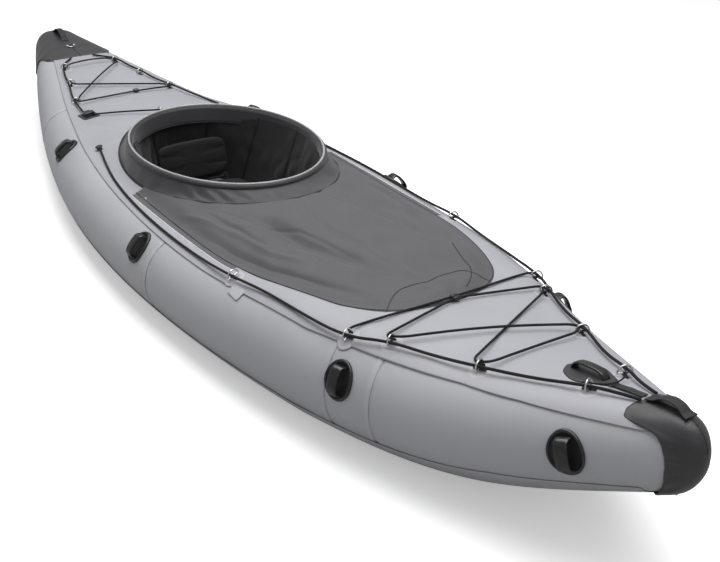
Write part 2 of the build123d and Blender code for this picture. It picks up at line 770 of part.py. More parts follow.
def aft_ring_tab():
    x, y = AFT_RING_AT
    tab = Pos(0, 0, 1.6) * Box(10, 30, 2.4) + Pos(0, 0, RING_REST) * Rot(0, 90, 0) * Cylinder(4, 10)
    tab = tab - Pos(0, 0, RING_REST) * Rot(0, 90, 0) * Cylinder(RING_WIRE / 2 + 0.2, 40)
    return deck_plane(x, y, GAP + SKIN) * Pos(0, 0, 0.5) * tab


def aft_ring():
    x, y = AFT_RING_AT
    return deck_plane(x, y, GAP + SKIN) * Pos(0, 0, RING_REST + 0.5) * Rot(0, 0, 90) * d_ring()


def aft_cord():
    """Thin cord from the buckle to the ring behind the coaming."""
    bx, by = BUCKLE_AT
    start = (buckle_plane() * Pos(26, 12, 9)).position
    end = (deck_plane(*AFT_RING_AT, GAP + SKIN) * Pos(-2, -9, 14)).position
    a = (start.X, start.Y, start.Z)
    b = (end.X, end.Y, end.Z)
    return cord([a] + hug(a, b, 3, 2) + [b, (b[0] + 5, b[1] + 18, b[2])], BUNGEE_D)


# ---- build --------------------------------------------------------------------------------
def both(make):
    return [make(1), make(-1)]


def all_handles(make):
    return group([make(side, s) for s in HANDLE_STATIONS for side in (1, -1)])


save("side_tube_left", side_tube(1))
save("side_tube_right", side_tube(-1))
save("floor_chamber", floor_chamber())
save("bottom_skin", bottom_skin())
save("bow_deck", bow_deck())
save("stern_deck", stern_deck())
save("side_decks", group(both(side_deck)))
save("cockpit_cover", cockpit_cover())
save("coaming_collar", collar())
save("coaming_hoop", hoop())
save("coaming_piping", piping())
save("cockpit_liner", liner())
save("cover_hem_bands", group(both(side_band)))
save("bow_cap", bow_cap())
save("stern_cap", stern_cap())
save("bow_patch", bow_patch())
save("bow_grip", bow_grip())
save("bow_strap", bow_strap())
save("bow_cap_band", group([bow_cap_handle()] + bow_cap_tabs()))
save("stern_band", stern_handle())
save("stern_ring", stern_ring())
save("handle_bases", all_handles(handle_base))
save("handle_posts", group([handle_post(side, s, e) for s in HANDLE_STATIONS
                            for side in (1, -1) for e in (1, -1)]))
save("handle_bars", all_handles(handle_bar))
save("ring_patches", ring_patches())
tabs = [ring_tab(side, s) for s in RING_STATIONS for side in (1, -1)]
rings = [placed_ring(side, s) for s in RING_STATIONS for side in (1, -1)]
save("ring_tabs", group(tabs + [aft_ring_tab(), stern_ring_tab()]))
save("deck_rings", group(rings + [aft_ring()]))
save("line_bow_left", perimeter_bow(1))
save("line_bow_right", perimeter_bow(-1))
save("line_stern_left", perimeter_stern(1))
save("line_stern_right", perimeter_stern(-1))

save("bungee_fore_1", lacing((-1, 4, 2, -1), (1, 4, 2, -1), through(SLIDE_FORE, -5.5, 9.5), 3, 0))
save("bungee_fore_2", lacing((-1, 5, 1, -1), (1, 5, 1, -1), through(SLIDE_FORE, 5.5, 9.5), 3, 0))
save("bungee_fore_3", lacing((-1, 5, 2, 1), (1, 6, 1, -1), [], 5, 9))
save("bungee_fore_4", lacing((-1, 6, 1, -1), (1, 5, 2, 1), [], 5, 0.5))
save("bungee_fore_5", lacing((-1, 6, 2, 1), (1, 6, 2, 1), [], 3, 1))
save("bungee_fore_6", lacing((-1, 7, 1, 1), (1, 7, 1, 1), [over(1568, 0, 8)], 0, 0, 3.5))
save("bungee_aft_1", lacing((-1, 0, 2, -1), (1, 0, 2, -1), [], 3, 7))
save("bungee_aft_2", lacing((-1, 1, 1, 1), (1, 2, 2, -1), [], 5, 0.5))
save("bungee_aft_3", lacing((-1, 2, 2, -1), (1, 0, 1, 1), [], 5, 8))
save("bungee_aft_4", lacing((-1, 2, 1, 1), (1, 2, 1, 1), through(SLIDE_AFT, 5.5, 8), 3, 0))
save("bungee_aft_5", aft_cord())
save("slide_clips", group([slide_clip(SLIDE_FORE, 9.5), slide_clip(SLIDE_AFT, 8)]))
save("line_stops", group(both(knob)))
save("buckle_pad", buckle_pad())
save("buckle_body", buckle_body())
save("buckle_lever", buckle_lever())

places = valve_planes()
save("valve_bodies", group([p * valve_body() for p in places]))
for name, place in zip(("left", "right", "floor"), places):
    save("valve_stem_" + name, place * valve_stem())
    save("valve_cap_" + name, place * valve_cap())

save("seat_cushion", seat())
save("seat_lugs", seat_lugs())
save("backrest_frame", backrest_frame())
save("backrest_pad", backrest_pad())
save("foot_rails", foot_rails())
save("footrest", footrest())
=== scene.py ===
# %% [markdown]
# # An inflatable kayak, one piece at a time
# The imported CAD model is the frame: it says where every part is and what moves with what. This
# file gives each part the shape and finish of the real thing: coated fabric blown tight, loose
# cover cloth, cord, webbing, moulded rubber and steel. Lengths are in metres, +X is the bow.
# %% Load the frame
import math
import bpy
import bmesh
import numpy as np
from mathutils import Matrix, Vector


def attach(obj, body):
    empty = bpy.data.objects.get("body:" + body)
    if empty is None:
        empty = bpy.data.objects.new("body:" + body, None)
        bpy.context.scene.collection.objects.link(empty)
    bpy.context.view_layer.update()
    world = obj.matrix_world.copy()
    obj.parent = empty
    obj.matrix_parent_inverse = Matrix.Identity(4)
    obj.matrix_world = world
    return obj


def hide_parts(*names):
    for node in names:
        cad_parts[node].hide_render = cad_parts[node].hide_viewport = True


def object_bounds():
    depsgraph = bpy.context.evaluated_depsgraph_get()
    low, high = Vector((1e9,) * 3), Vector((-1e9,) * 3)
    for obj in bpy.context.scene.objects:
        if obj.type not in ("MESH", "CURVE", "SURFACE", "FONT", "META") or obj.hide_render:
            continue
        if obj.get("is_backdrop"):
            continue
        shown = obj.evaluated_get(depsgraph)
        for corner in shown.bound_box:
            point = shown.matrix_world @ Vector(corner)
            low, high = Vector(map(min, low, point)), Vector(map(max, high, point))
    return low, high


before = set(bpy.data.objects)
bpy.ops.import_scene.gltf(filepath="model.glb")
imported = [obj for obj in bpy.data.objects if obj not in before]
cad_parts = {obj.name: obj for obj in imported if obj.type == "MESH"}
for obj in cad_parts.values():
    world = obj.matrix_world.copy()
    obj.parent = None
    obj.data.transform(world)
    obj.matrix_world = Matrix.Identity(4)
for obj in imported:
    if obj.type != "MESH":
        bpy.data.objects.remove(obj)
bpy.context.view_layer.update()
scene = bpy.context.scene

# %% [markdown]
# ## Camera
# The boat is seen from the front and right, from well above the deck, through a slightly long
# lens. The tiny shift places it in the frame as it should be.
# %% Camera
camera = bpy.data.objects.new("camera", bpy.data.cameras.new("camera"))
scene.collection.objects.link(camera)
camera.location = (2.857, -1.382, 1.524)
aim = Vector((0.648, 0.005, 0.1935)) - camera.location
camera.rotation_euler = aim.to_track_quat("-Z", "Y").to_euler()
camera.data.lens = 56.4
camera.data.shift_x = -0.0044
camera.data.shift_y = -0.0025
camera.data.clip_end = 60
scene.camera = camera

# %% [markdown]
# ## The hull form
# A hull like this is drawn with stations: the place and size of the round side tubes every
# 0.45 m. Between stations the values run on smooth Hermite curves. Every skin, patch and cord
# below is placed from these few functions, so everything stays in contact.
# %% Hull form
STATION_FIRST = -1.8
STATION_STEP = 0.45
AXIS_Y = np.array([8, 123, 225, 304, 332, 303, 219, 102, -58]) / 1000
TUBE_R = np.array([60, 96, 115, 121, 122, 128, 145, 131, 84]) / 1000
KEEL_Z = np.array([196, 72, 0, 0, 0, 0, 0, 55, 240]) / 1000
DECK_CROWN = np.array([0, 4, 14, 40, 52, 40, 14, 6, 0]) / 1000
SKIN = 0.0012
GAP = 0.0008


def table(values, x):
    """Cubic Hermite curve through evenly spaced values: two ends and two slopes, weighted by
    the four Hermite polynomials of the distance into the span."""
    t = (np.asarray(x, float) - STATION_FIRST) / STATION_STEP
    last = len(values) - 2
    i = np.clip(np.floor(t).astype(int), 0, last)
    u = t - i
    m0 = (values[i + 1] - values[np.maximum(i - 1, 0)]) / np.where(i > 0, 2, 1)
    m1 = (values[np.minimum(i + 2, last + 1)] - values[i]) / np.where(i < last, 2, 1)
    return ((2 * u**3 - 3 * u**2 + 1) * values[i] + (u**3 - 2 * u**2 + u) * m0
            + (3 * u**2 - 2 * u**3) * values[i + 1] + (u**3 - u**2) * m1)


def axis_y(x):
    return table(AXIS_Y, x)


def radius(x):
    return table(TUBE_R, x)


def axis_z(x):
    """The tube stands on the bottom skin: keel height, skin and weld, then the radius."""
    return np.maximum(table(KEEL_Z, x), 0) + SKIN + GAP + radius(x)


def deck_z(x, y, lift=0.0):
    """Deck height: a circle over each tube, and between the crests a low parabola whose height
    is crown times one minus the square of the distance out."""
    x, y = np.broadcast_arrays(np.asarray(x, float), np.asarray(y, float))
    ay = np.maximum(axis_y(x), 0)
    r = radius(x) + lift
    d = np.abs(y) - ay
    outer = np.sqrt(np.maximum(r**2 - np.maximum(d, 0)**2, 0))
    crown = table(DECK_CROWN, x) * (1 - (y / np.maximum(ay, 0.03))**2)
    inner = r + np.where(ay > 0.03, crown, 0)
    return axis_z(x) + np.where(d > 0, outer, inner)


def unit(v):
    v = np.asarray(v, float)
    return v / np.linalg.norm(v)


def deck_frame(x, y, lift, turn=0.0):
    """Origin and x, y, z directions of a plane lying on the deck, z out of it."""
    e = 0.003
    sx = (deck_z(x + e, y, lift) - deck_z(x - e, y, lift)) / (2 * e)
    sy = (deck_z(x, y + e, lift) - deck_z(x, y - e, lift)) / (2 * e)
    ahead = unit((1, turn, sx + turn * sy))
    up = unit((-sx, -sy, 1))
    return np.array((x, y, deck_z(x, y, lift))), ahead, np.cross(up, ahead), up


def tube_frame(side, x, angle):
    """Origin and directions on a side tube at an angle up from its outer side."""
    e = 0.002
    c, s = math.cos(math.radians(angle)), math.sin(math.radians(angle))
    dy = (axis_y(x + e) - axis_y(x - e)) / (2 * e)
    dz = (axis_z(x + e) - axis_z(x - e)) / (2 * e)
    dr = (radius(x + e) - radius(x - e)) / (2 * e)
    r = radius(x)
    foot = np.array((x, side * (axis_y(x) + r * c), axis_z(x) + r * s))
    up = unit((-(dy * c + dz * s + dr), side * c, s))
    ahead = unit((1, side * (dy + dr * c), dz + dr * s))
    return foot, ahead, np.cross(up, ahead), up


def local(plane, x, y, z):
    """Points of a plane's own x, y, z in the common frame."""
    o, a, b, c = plane
    x, y, z = np.broadcast_arrays(x, y, z)
    return o + x[..., None] * a + y[..., None] * b + z[..., None] * c


print("beam at the middle", round(2 * float(axis_y(0) + radius(0)), 3))

# %% [markdown]
# ## Cloth-like unevenness
# Real coated cloth is never perfectly smooth. A handful of sine waves with random directions,
# drawn from a fixed seed, adds up to a soft, repeatable unevenness.
# %% Soft noise
def ripple(p, scale, seed, waves=10):
    """Sum of plane waves, each the sine of position times a random direction over scale."""
    rng = np.random.default_rng(seed)
    k = rng.normal(size=(waves, 3))
    k = k / np.linalg.norm(k, axis=1)[:, None] * rng.uniform(0.6, 1.7,
            (waves, 1)) * 2 * np.pi / scale
    phase = rng.uniform(0, 2 * np.pi, waves)
    return np.sin(p @ k.T + phase).sum(-1) / math.sqrt(waves)


def bump_at(d, width):
    """Bell of height 1 at d = 0: e to the minus square of d over width."""
    return np.exp(-(np.asarray(d) / width)**2)


def smooth_step(x, a, b):
    t = np.clip((x - a) / (b - a), 0, 1)
    return t * t * (3 - 2 * t)


# %% [markdown]
# ## Grids into meshes
# Almost every piece is a rectangular grid of points bent into shape. The faces join each point
# to its neighbours, and the UV map holds the distances along the two grid directions in metres,
# so a weave keeps its real size everywhere.
# %% Mesh helpers
def lengths(P, axis):
    """Mean distance along one grid direction, added up from the first row."""
    step = np.linalg.norm(np.diff(P, axis=axis), axis=-1).mean(axis=1 - axis)
    return np.concatenate([[0], np.cumsum(step)])


def surface(name, grids, material, body="hull", wall=0.0, out=1, weld=True, level=0):
    """One mesh from one or more grids of points. wall gives the cloth a thickness, and out is
    which side of the grid it grows to."""
    V, F, T = [], [], []
    start = 0
    for g in grids:
        P, ring, flip = (list(g) + [False, False])[:3] if isinstance(g, (tuple, list)) else (g,
                False, False)
        if ring:
            P = np.concatenate([P, P[:, :1]], axis=1)
        n, m = P.shape[:2]
        idx = np.arange(n * m).reshape(n, m) + start
        q = np.stack([idx[:-1, :-1], idx[1:, :-1], idx[1:, 1:], idx[:-1, 1:]], -1).reshape(-1, 4)
        F.append(q[:, ::-1] if flip else q)
        u, v = np.meshgrid(lengths(P, 0), lengths(P, 1), indexing="ij")
        T.append(np.stack([u, v], -1).reshape(-1, 2))
        V.append(P.reshape(-1, 3))
        start += n * m
    V, F, T = np.concatenate(V), np.concatenate(F), np.concatenate(T)
    mesh = bpy.data.meshes.new(name)
    mesh.from_pydata(V.tolist(), [], F.tolist())
    uv = mesh.uv_layers.new(name="metres")
    uv.data.foreach_set("uv", T[F.reshape(-1)].astype(np.float32).reshape(-1))
    mesh.validate()
    if weld:
        b = bmesh.new()
        b.from_mesh(mesh)
        bmesh.ops.remove_doubles(b, verts=b.verts, dist=2e-5)
        b.to_mesh(mesh)
        b.free()
    mesh.polygons.foreach_set("use_smooth", np.ones(len(mesh.polygons), bool))
    mesh.materials.append(material)
    obj = bpy.data.objects.new(name, mesh)
    scene.collection.objects.link(obj)
    if wall:
        s = obj.modifiers.new("wall", "SOLIDIFY")
        s.thickness = wall
        s.offset = out
        s.use_even_offset = False
    if level:
        m = obj.modifiers.new("smooth", "SUBSURF")
        m.levels = m.render_levels = level
    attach(obj, body)
    return obj


def path_through(points, count):
    """Smooth line through points (Catmull-Rom): each span is a cubic of its four nearest points."""
    p = np.asarray(points, float)
    p = np.vstack([2 * p[0] - p[1], p, 2 * p[-1] - p[-2]])
    s = np.linspace(0, len(points) - 1 - 1e-9, count)
    i = s.astype(int)
    t = (s - i)[:, None]
    a, b, c, d = p[i], p[i + 1], p[i + 2], p[i + 3]
    return 0.5 * (2 * b + (c - a) * t + (2 * a - 5 * b + 4 * c - d) * t**2
                  + (3 * b - a - 3 * c + d) * t**3)


def squared(count, power):
    """Outline of a rounded square: cosine and sine raised to a power below one."""
    a = np.linspace(0, 2 * np.pi, count, endpoint=False)
    c, s = np.cos(a), np.sin(a)
    return np.sign(c) * np.abs(c)**power, np.sign(s) * np.abs(s)**power


def band(path, across, half_w, half_t, power=0.35, count=20):
    """A flat bar or strap: a rounded-square section carried along a path, across its width
    direction, with the ends drawn to a point so that they close."""
    path = np.asarray(path, float)
    tangent = np.gradient(path, axis=0)
    tangent /= np.linalg.norm(tangent, axis=1)[:, None]
    across = np.broadcast_to(np.asarray(across, float), path.shape)
    normal = np.cross(tangent, across)
    normal /= np.linalg.norm(normal, axis=1)[:, None]
    c, s = squared(count, power)
    w = np.broadcast_to(half_w, len(path))
    t = np.broadcast_to(half_t, len(path))
    P = (path[:, None] + across[:, None] * (w[:, None] * c)[..., None]
         + normal[:, None] * (t[:, None] * s)[..., None])
    first = np.broadcast_to(path[:1, None], (1, count, 3))
    last = np.broadcast_to(path[-1:, None], (1, count, 3))
    return np.concatenate([first, P[:1] * 0.3 + first * 0.7, P, P[-1:] * 0.3 + last * 0.7, last])


def decal(outline, centre, lift, thick, rows=10):
    """A thin pad that lies on the deck: rings of points from its centre to its outline, rounded
    down at the edge and closed underneath."""
    t = np.concatenate([np.linspace(0, 0.93, rows), [0.97, 0.99, 1.0, 1.0, 0.9, 0.0]])
    h = np.concatenate([np.full(rows, thick), [thick * 0.86, thick * 0.6, thick * 0.25, 0, 0, 0]])
    xy = np.asarray(centre) + t[:, None, None] * (outline - np.asarray(centre))[None]
    z = deck_z(xy[..., 0], xy[..., 1], lift) + h[:, None]
    return np.dstack([xy, z])


def ellipse(a, b, x=0.0, y=0.0, count=72):
    t = np.linspace(0, 2 * np.pi, count, endpoint=False)
    return np.stack([x + a * np.cos(t), y + b * np.sin(t)], -1)


# %% [markdown]
# ## Finishes
# Every finish is worked out from the piece itself: soft noise for uneven colour and gloss, fine
# noise for grain, and waves along the UV map for the threads of cloth and webbing. Numbers that
# are the same all over are set on the shader's own sockets.
# %% Material helpers
def finish(name, colour, rough, spread=0.05, grain=(900, 0.03), threads=0, thread_depth=0.4,
           relief=(14, 0.0), metal=0.0, sheen=0.0, coat=0.0, dust=0.0, specular=0.5):
    """A shader with three layers: slow colour drift, fine grain, and optional woven threads."""
    mat = bpy.data.materials.new(name)
    mat.use_nodes = True
    nodes, links = mat.node_tree.nodes, mat.node_tree.links
    nodes.clear()
    output = nodes.new("ShaderNodeOutputMaterial")
    shader = nodes.new("ShaderNodeBsdfPrincipled")
    links.new(shader.outputs[0], output.inputs[0])
    shader.inputs["Metallic"].default_value = metal
    shader.inputs["Sheen Weight"].default_value = sheen
    shader.inputs["Sheen Roughness"].default_value = 0.4
    shader.inputs["Coat Weight"].default_value = coat
    shader.inputs["Coat Roughness"].default_value = 0.15
    shader.inputs["Specular IOR Level"].default_value = specular
    where = nodes.new("ShaderNodeTexCoord")
    slow = nodes.new("ShaderNodeTexNoise")
    slow.inputs["Scale"].default_value = relief[0]
    slow.inputs["Detail"].default_value = 4
    links.new(where.outputs["Object"], slow.inputs["Vector"])
    fine = nodes.new("ShaderNodeTexNoise")
    fine.inputs["Scale"].default_value = grain[0]
    fine.inputs["Detail"].default_value = 2
    links.new(where.outputs["Object"], fine.inputs["Vector"])
    tint = nodes.new("ShaderNodeValToRGB")
    low = [c * (1 - spread) for c in colour]
    high = [min(1, c * (1 + spread) + dust) for c in colour]
    tint.color_ramp.elements[0].position = 0.3
    tint.color_ramp.elements[1].position = 0.7
    tint.color_ramp.elements[0].color = (*low, 1)
    tint.color_ramp.elements[1].color = (*high, 1)
    links.new(slow.outputs["Fac"], tint.inputs["Fac"])
    gloss = nodes.new("ShaderNodeMapRange")
    gloss.inputs["To Min"].default_value = max(0.05, rough - 0.05)
    gloss.inputs["To Max"].default_value = min(1, rough + 0.05)
    links.new(slow.outputs["Fac"], gloss.inputs["Value"])
    links.new(gloss.outputs["Result"], shader.inputs["Roughness"])
    colour_out = tint.outputs["Color"]
    bump = nodes.new("ShaderNodeBump")
    bump.inputs["Strength"].default_value = grain[1] * 10
    bump.inputs["Distance"].default_value = 0.0002
    links.new(fine.outputs["Fac"], bump.inputs["Height"])
    last = bump
    if relief[1]:
        swell = nodes.new("ShaderNodeBump")
        swell.inputs["Strength"].default_value = relief[1]
        swell.inputs["Distance"].default_value = 0.004
        links.new(slow.outputs["Fac"], swell.inputs["Height"])
        links.new(last.outputs["Normal"], swell.inputs["Normal"])
        last = swell
    if threads:
        uv = nodes.new("ShaderNodeUVMap")
        uv.uv_map = "metres"
        waves = []
        for direction in ("X", "Y"):
            wave = nodes.new("ShaderNodeTexWave")
            wave.bands_direction = direction
            wave.inputs["Scale"].default_value = threads / 20
            links.new(uv.outputs["UV"], wave.inputs["Vector"])
            waves.append(wave)
        weave = nodes.new("ShaderNodeMath")
        weave.operation = "MULTIPLY"
        links.new(waves[0].outputs["Fac"], weave.inputs[0])
        links.new(waves[1].outputs["Fac"], weave.inputs[1])
        cloth = nodes.new("ShaderNodeBump")
        cloth.inputs["Strength"].default_value = thread_depth
        cloth.inputs["Distance"].default_value = 0.0003
        links.new(weave.outputs[0], cloth.inputs["Height"])
        links.new(last.outputs["Normal"], cloth.inputs["Normal"])
        last = cloth
        mix = nodes.new("ShaderNodeMix")
        mix.data_type = "RGBA"
        mix.blend_type = "MULTIPLY"
        mix.inputs[7].default_value = (0.86, 0.86, 0.87, 1)
        links.new(weave.outputs[0], mix.inputs[0])
        links.new(colour_out, mix.inputs[6])
        colour_out = mix.outputs[2]
    links.new(colour_out, shader.inputs["Base Color"])
    links.new(last.outputs["Normal"], shader.inputs["Normal"])
    return mat


MAT = {
    "tube": finish("tube_pvc", (0.43, 0.435, 0.46), 0.40, 0.03, (1400, 0.02), relief=(5, 0.05),
                   coat=0.05),
    "deck": finish("deck_pvc", (0.37, 0.37, 0.405), 0.50, 0.03, (1400, 0.02), relief=(7, 0.12)),
    "bottom": finish("bottom_pvc", (0.40, 0.40, 0.43), 0.48, 0.04, (900, 0.04), relief=(9, 0.08)),
    "seam": finish("seam_grey", (0.30, 0.30, 0.33), 0.5, 0.05),
    "cover": finish("cover_fabric", (0.078, 0.078, 0.084), 0.62, 0.06, (1500, 0.05), 900, 0.25,
                    (9, 0.12), sheen=0.25),
    "collar": finish("collar_fabric", (0.050, 0.050, 0.055), 0.6, 0.08, (1500, 0.05), 900, 0.25,
                     (16, 0.2), sheen=0.25),
    "hem": finish("hem_band", (0.10, 0.10, 0.105), 0.6, 0.06, (1500, 0.05), 900, 0.2, sheen=0.1),
    "edge": finish("hem_edge", (0.62, 0.62, 0.64), 0.45, 0.05),
    "thread": finish("seam_thread", (0.022, 0.022, 0.024), 0.75, 0.2, (2600, 0.2)),
    "sleeve": finish("hoop_sleeve", (0.040, 0.040, 0.043), 0.6, 0.08, (1500, 0.05), 900, 0.25,
                     sheen=0.2),
    # Welt colour: partly the welt's own light grey, partly painted highlight along the hoop's top
    "piping": finish("piping", (0.42, 0.42, 0.43), 0.38, 0.08, (1200, 0.1), coat=0.2),
    "liner": finish("liner_fabric", (0.010, 0.010, 0.0115), 0.66, 0.2, (1500, 0.1), 900, 0.3,
                    (12, 0.3), sheen=0.15),
    "cap": finish("cap_fabric", (0.036, 0.036, 0.039), 0.42, 0.08, (1300, 0.06), 800, 0.2,
                  (18, 0.15), sheen=0.1),
    "patch": finish("patch_rubber", (0.034, 0.034, 0.037), 0.5, 0.08, (1200, 0.08), 800, 0.1),
    "strap": finish("webbing", (0.020, 0.020, 0.022), 0.7, 0.15, (1800, 0.1), 500, 0.8),
    "rubber": finish("handle_rubber", (0.009, 0.009, 0.010), 0.28, 0.1, (900, 0.08), coat=0.25),
    "dish": finish("dish_rubber", (0.006, 0.006, 0.007), 0.5, 0.1, (900, 0.1)),
    "light": finish("patch_pvc", (0.46, 0.46, 0.49), 0.45, 0.04, (1200, 0.05)),
    "steel": finish("ring_steel", (0.62, 0.62, 0.63), 0.22, 0.05, (600, 0.05), metal=1.0),
    "cord": finish("line_cord", (0.007, 0.007, 0.008), 0.8, 0.2, (2500, 0.6), relief=(60, 0.0)),
    "bungee": finish("bungee_cord", (0.006, 0.006, 0.007), 0.8, 0.2, (2500, 0.7), relief=(60, 0.0)),
    "plastic": finish("black_plastic", (0.012, 0.012, 0.013), 0.35, 0.1, (700, 0.06), coat=0.1),
    "valve": finish("valve_plastic", (0.10, 0.10, 0.105), 0.38, 0.06, (700, 0.05)),
    "stem": finish("stem_plastic", (0.35, 0.35, 0.36), 0.4, 0.05),
    "floor": finish("floor_pvc", (0.24, 0.24, 0.26), 0.5, 0.05, (900, 0.05), 250, 0.3),
    # Seat cloth: near-black, and darkened further as painted shade so that the seat and back pad
    # sink into the cockpit's shade
    "seat": finish("seat_fabric", (0.006, 0.006, 0.007), 0.85, 0.15, (1500, 0.1), 700, 0.4,
                   (14, 0.2)),
    "fitting": finish("fitting_plastic", (0.03, 0.03, 0.032), 0.4, 0.08, (700, 0.05)),
}
print(len(MAT), "finishes")

# %% [markdown]
# ## Deck lines and bungees
# The lines are fixed lengths of cord that run through steel rings. Each is one smooth NURBS
# curve whose control points are the points of its real route: the rings it passes, and a few
# points between them that keep it just off the deck.
# %% Ring places and routes
RINGS = [
    (-1.340, 0.100, 0.40), (-1.175, 0.136, 0.23), (-0.996, 0.180, 0.22), (0.588, 0.332, -0.12),
    (1.017, 0.265, -0.33), (1.112, 0.213, -0.45), (1.322, 0.137, -0.39), (1.542, 0.046, -0.41),
]
PATCH = 0.0009
PAD_LIFT = 2 * GAP + SKIN + PATCH + 0.0003
SLIDE_FORE = (1.047, 0.002)
SLIDE_AFT = (-0.990, 0.046)
BUCKLE = (-0.842, 0.190)
KNOB = (-0.480, 0.283)
AFT_RING = (-0.655, 0.0)


def ring_frame(side, k, out=GAP + SKIN):
    x, y, turn = RINGS[k]
    return deck_frame(x, side * y, out, side * turn)


def on_deck(side, x, y, h):
    return tuple(deck_frame(x, side * y, GAP + SKIN + h)[0])


def over(x, y, h):
    return (x, y, float(deck_z(x, y, GAP + SKIN)) + h)


def lane(side, k, along, number):
    """Point in ring k: lane 0 is outboard, 1 in the middle, 2 inboard."""
    y, z = [(0.0076 * side, 0.013), (0, 0.014), (-0.0076 * side, 0.013)][number]
    return tuple(local(ring_frame(side, k, PAD_LIFT), along, y, z))


def cap_top(x, grow=0.004):
    r, ay = float(radius(x)), float(axis_y(x))
    return float(axis_z(x)) + math.sqrt(r * r - min(ay, 0)**2) + grow


def bow_line(side):
    p = [(1.648, side * 0.020, cap_top(1.648) + 0.003), over(1.600, side * 0.030, 0.009)]
    p += [lane(side, 7, 0, 0), on_deck(side, 1.435, 0.093, 0.008), lane(side, 6, 0, 0)]
    p += [on_deck(side, 1.215, 0.182, 0.008), lane(side, 5, 0, 0), lane(side, 4, 0, 0)]
    p += [on_deck(side, 0.860, 0.300, 0.008), on_deck(side, 0.720, 0.316, 0.008),
          lane(side, 3, 0, 0)]
    p += [on_deck(side, x, y, 0.006) for x, y in
          ((0.430, 0.352), (0.250, 0.361), (0.070, 0.361), (-0.110, 0.351), (-0.290, 0.328))]
    return p + [on_deck(side, KNOB[0] + 0.012, KNOB[1] + 0.003, 0.007)]


def stern_line(side):
    p = [(-1.432, side * 0.044, float(deck_z(-1.432, 0.044, 0.002)) + 0.006)]
    p += [on_deck(side, -1.392, 0.080, 0.008), lane(side, 0, 0, 0),
          on_deck(side, -1.258, 0.130, 0.008)]
    p += [lane(side, 1, 0, 0), on_deck(side, -1.085, 0.167, 0.008), lane(side, 2, 0, 0)]
    if side < 0:
        return p + [on_deck(side, BUCKLE[0] - 0.042, BUCKLE[1] + 0.006, 0.009)]
    return p + [on_deck(side, -0.840, 0.226, 0.007), on_deck(side, -0.700, 0.240, 0.007)]


def ring_end(side, k, number, fore):
    reach = 0.013 if number == 2 else 0.021
    return [lane(side, k, fore * reach, number), lane(side, k, -fore * 0.013, number)]


def hug(a, b, count, h):
    """Points between a and b, kept off the deck and lifted in a low arch of height h."""
    t = np.arange(1, count + 1) / (count + 1)
    p = np.asarray(a) + (np.asarray(b) - np.asarray(a)) * t[:, None]
    floor_z = deck_z(p[:, 0], p[:, 1], GAP + SKIN) + 0.0055
    p[:, 2] = np.maximum(floor_z, p[:, 2]) + h * np.sin(np.pi * t)
    return [tuple(q) for q in p]


def lacing(start, end, via=(), count=3, h=0.0):
    a = list(reversed(ring_end(*start)))
    b = ring_end(*end)
    stops = [a[-1]] + list(via) + [b[0]]
    p = list(a)
    for s, e in zip(stops, stops[1:]):
        p += ([] if math.dist(s, e) < 0.04 else hug(s, e, count, h)) + [e]
    return p + [b[1]]


def through(at, along, height):
    z = over(at[0], at[1], height)[2]
    return [(at[0] + along, at[1] + dy, z) for dy in (-0.017, 0.017)]


def buckle_frame():
    return deck_frame(BUCKLE[0], -BUCKLE[1], PAD_LIFT - 0.0025)


def aft_cord():
    a = tuple(local(buckle_frame(), 0.026, 0.012, 0.009))
    b = tuple(local(deck_frame(*AFT_RING, GAP + SKIN), -0.002, -0.009, 0.014))
    return [a] + hug(a, b, 3, 0.002) + [b, (b[0] + 0.005, b[1] + 0.018, b[2])]


# %% [markdown]
# A free cord is drawn with its diameter as a round tube along its points.
# The spline is order 3, set after its points, so that it is smooth and stays inside its corners.
# %% Cords
def cord(name, points, diameter, length, finish_name, slot_name):
    curve = bpy.data.curves.new(name + "_cord", "CURVE")
    curve.dimensions = "3D"
    curve.bevel_depth = diameter / 2
    curve.bevel_resolution = 4
    curve.use_fill_caps = True
    line = curve.splines.new("NURBS")
    line.points.add(len(points) - 1)
    line.points.foreach_set("co", np.hstack([points, np.ones((len(points), 1))]).reshape(-1))
    line.order_u = 3
    line.use_endpoint_u = True
    line.resolution_u = 10
    curve.resolution_u = 10
    curve.materials.append(MAT[finish_name])
    obj = bpy.data.objects.new(name + "_cord", curve)
    scene.collection.objects.link(obj)
    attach(obj, "hull")
    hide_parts(name)
    return obj


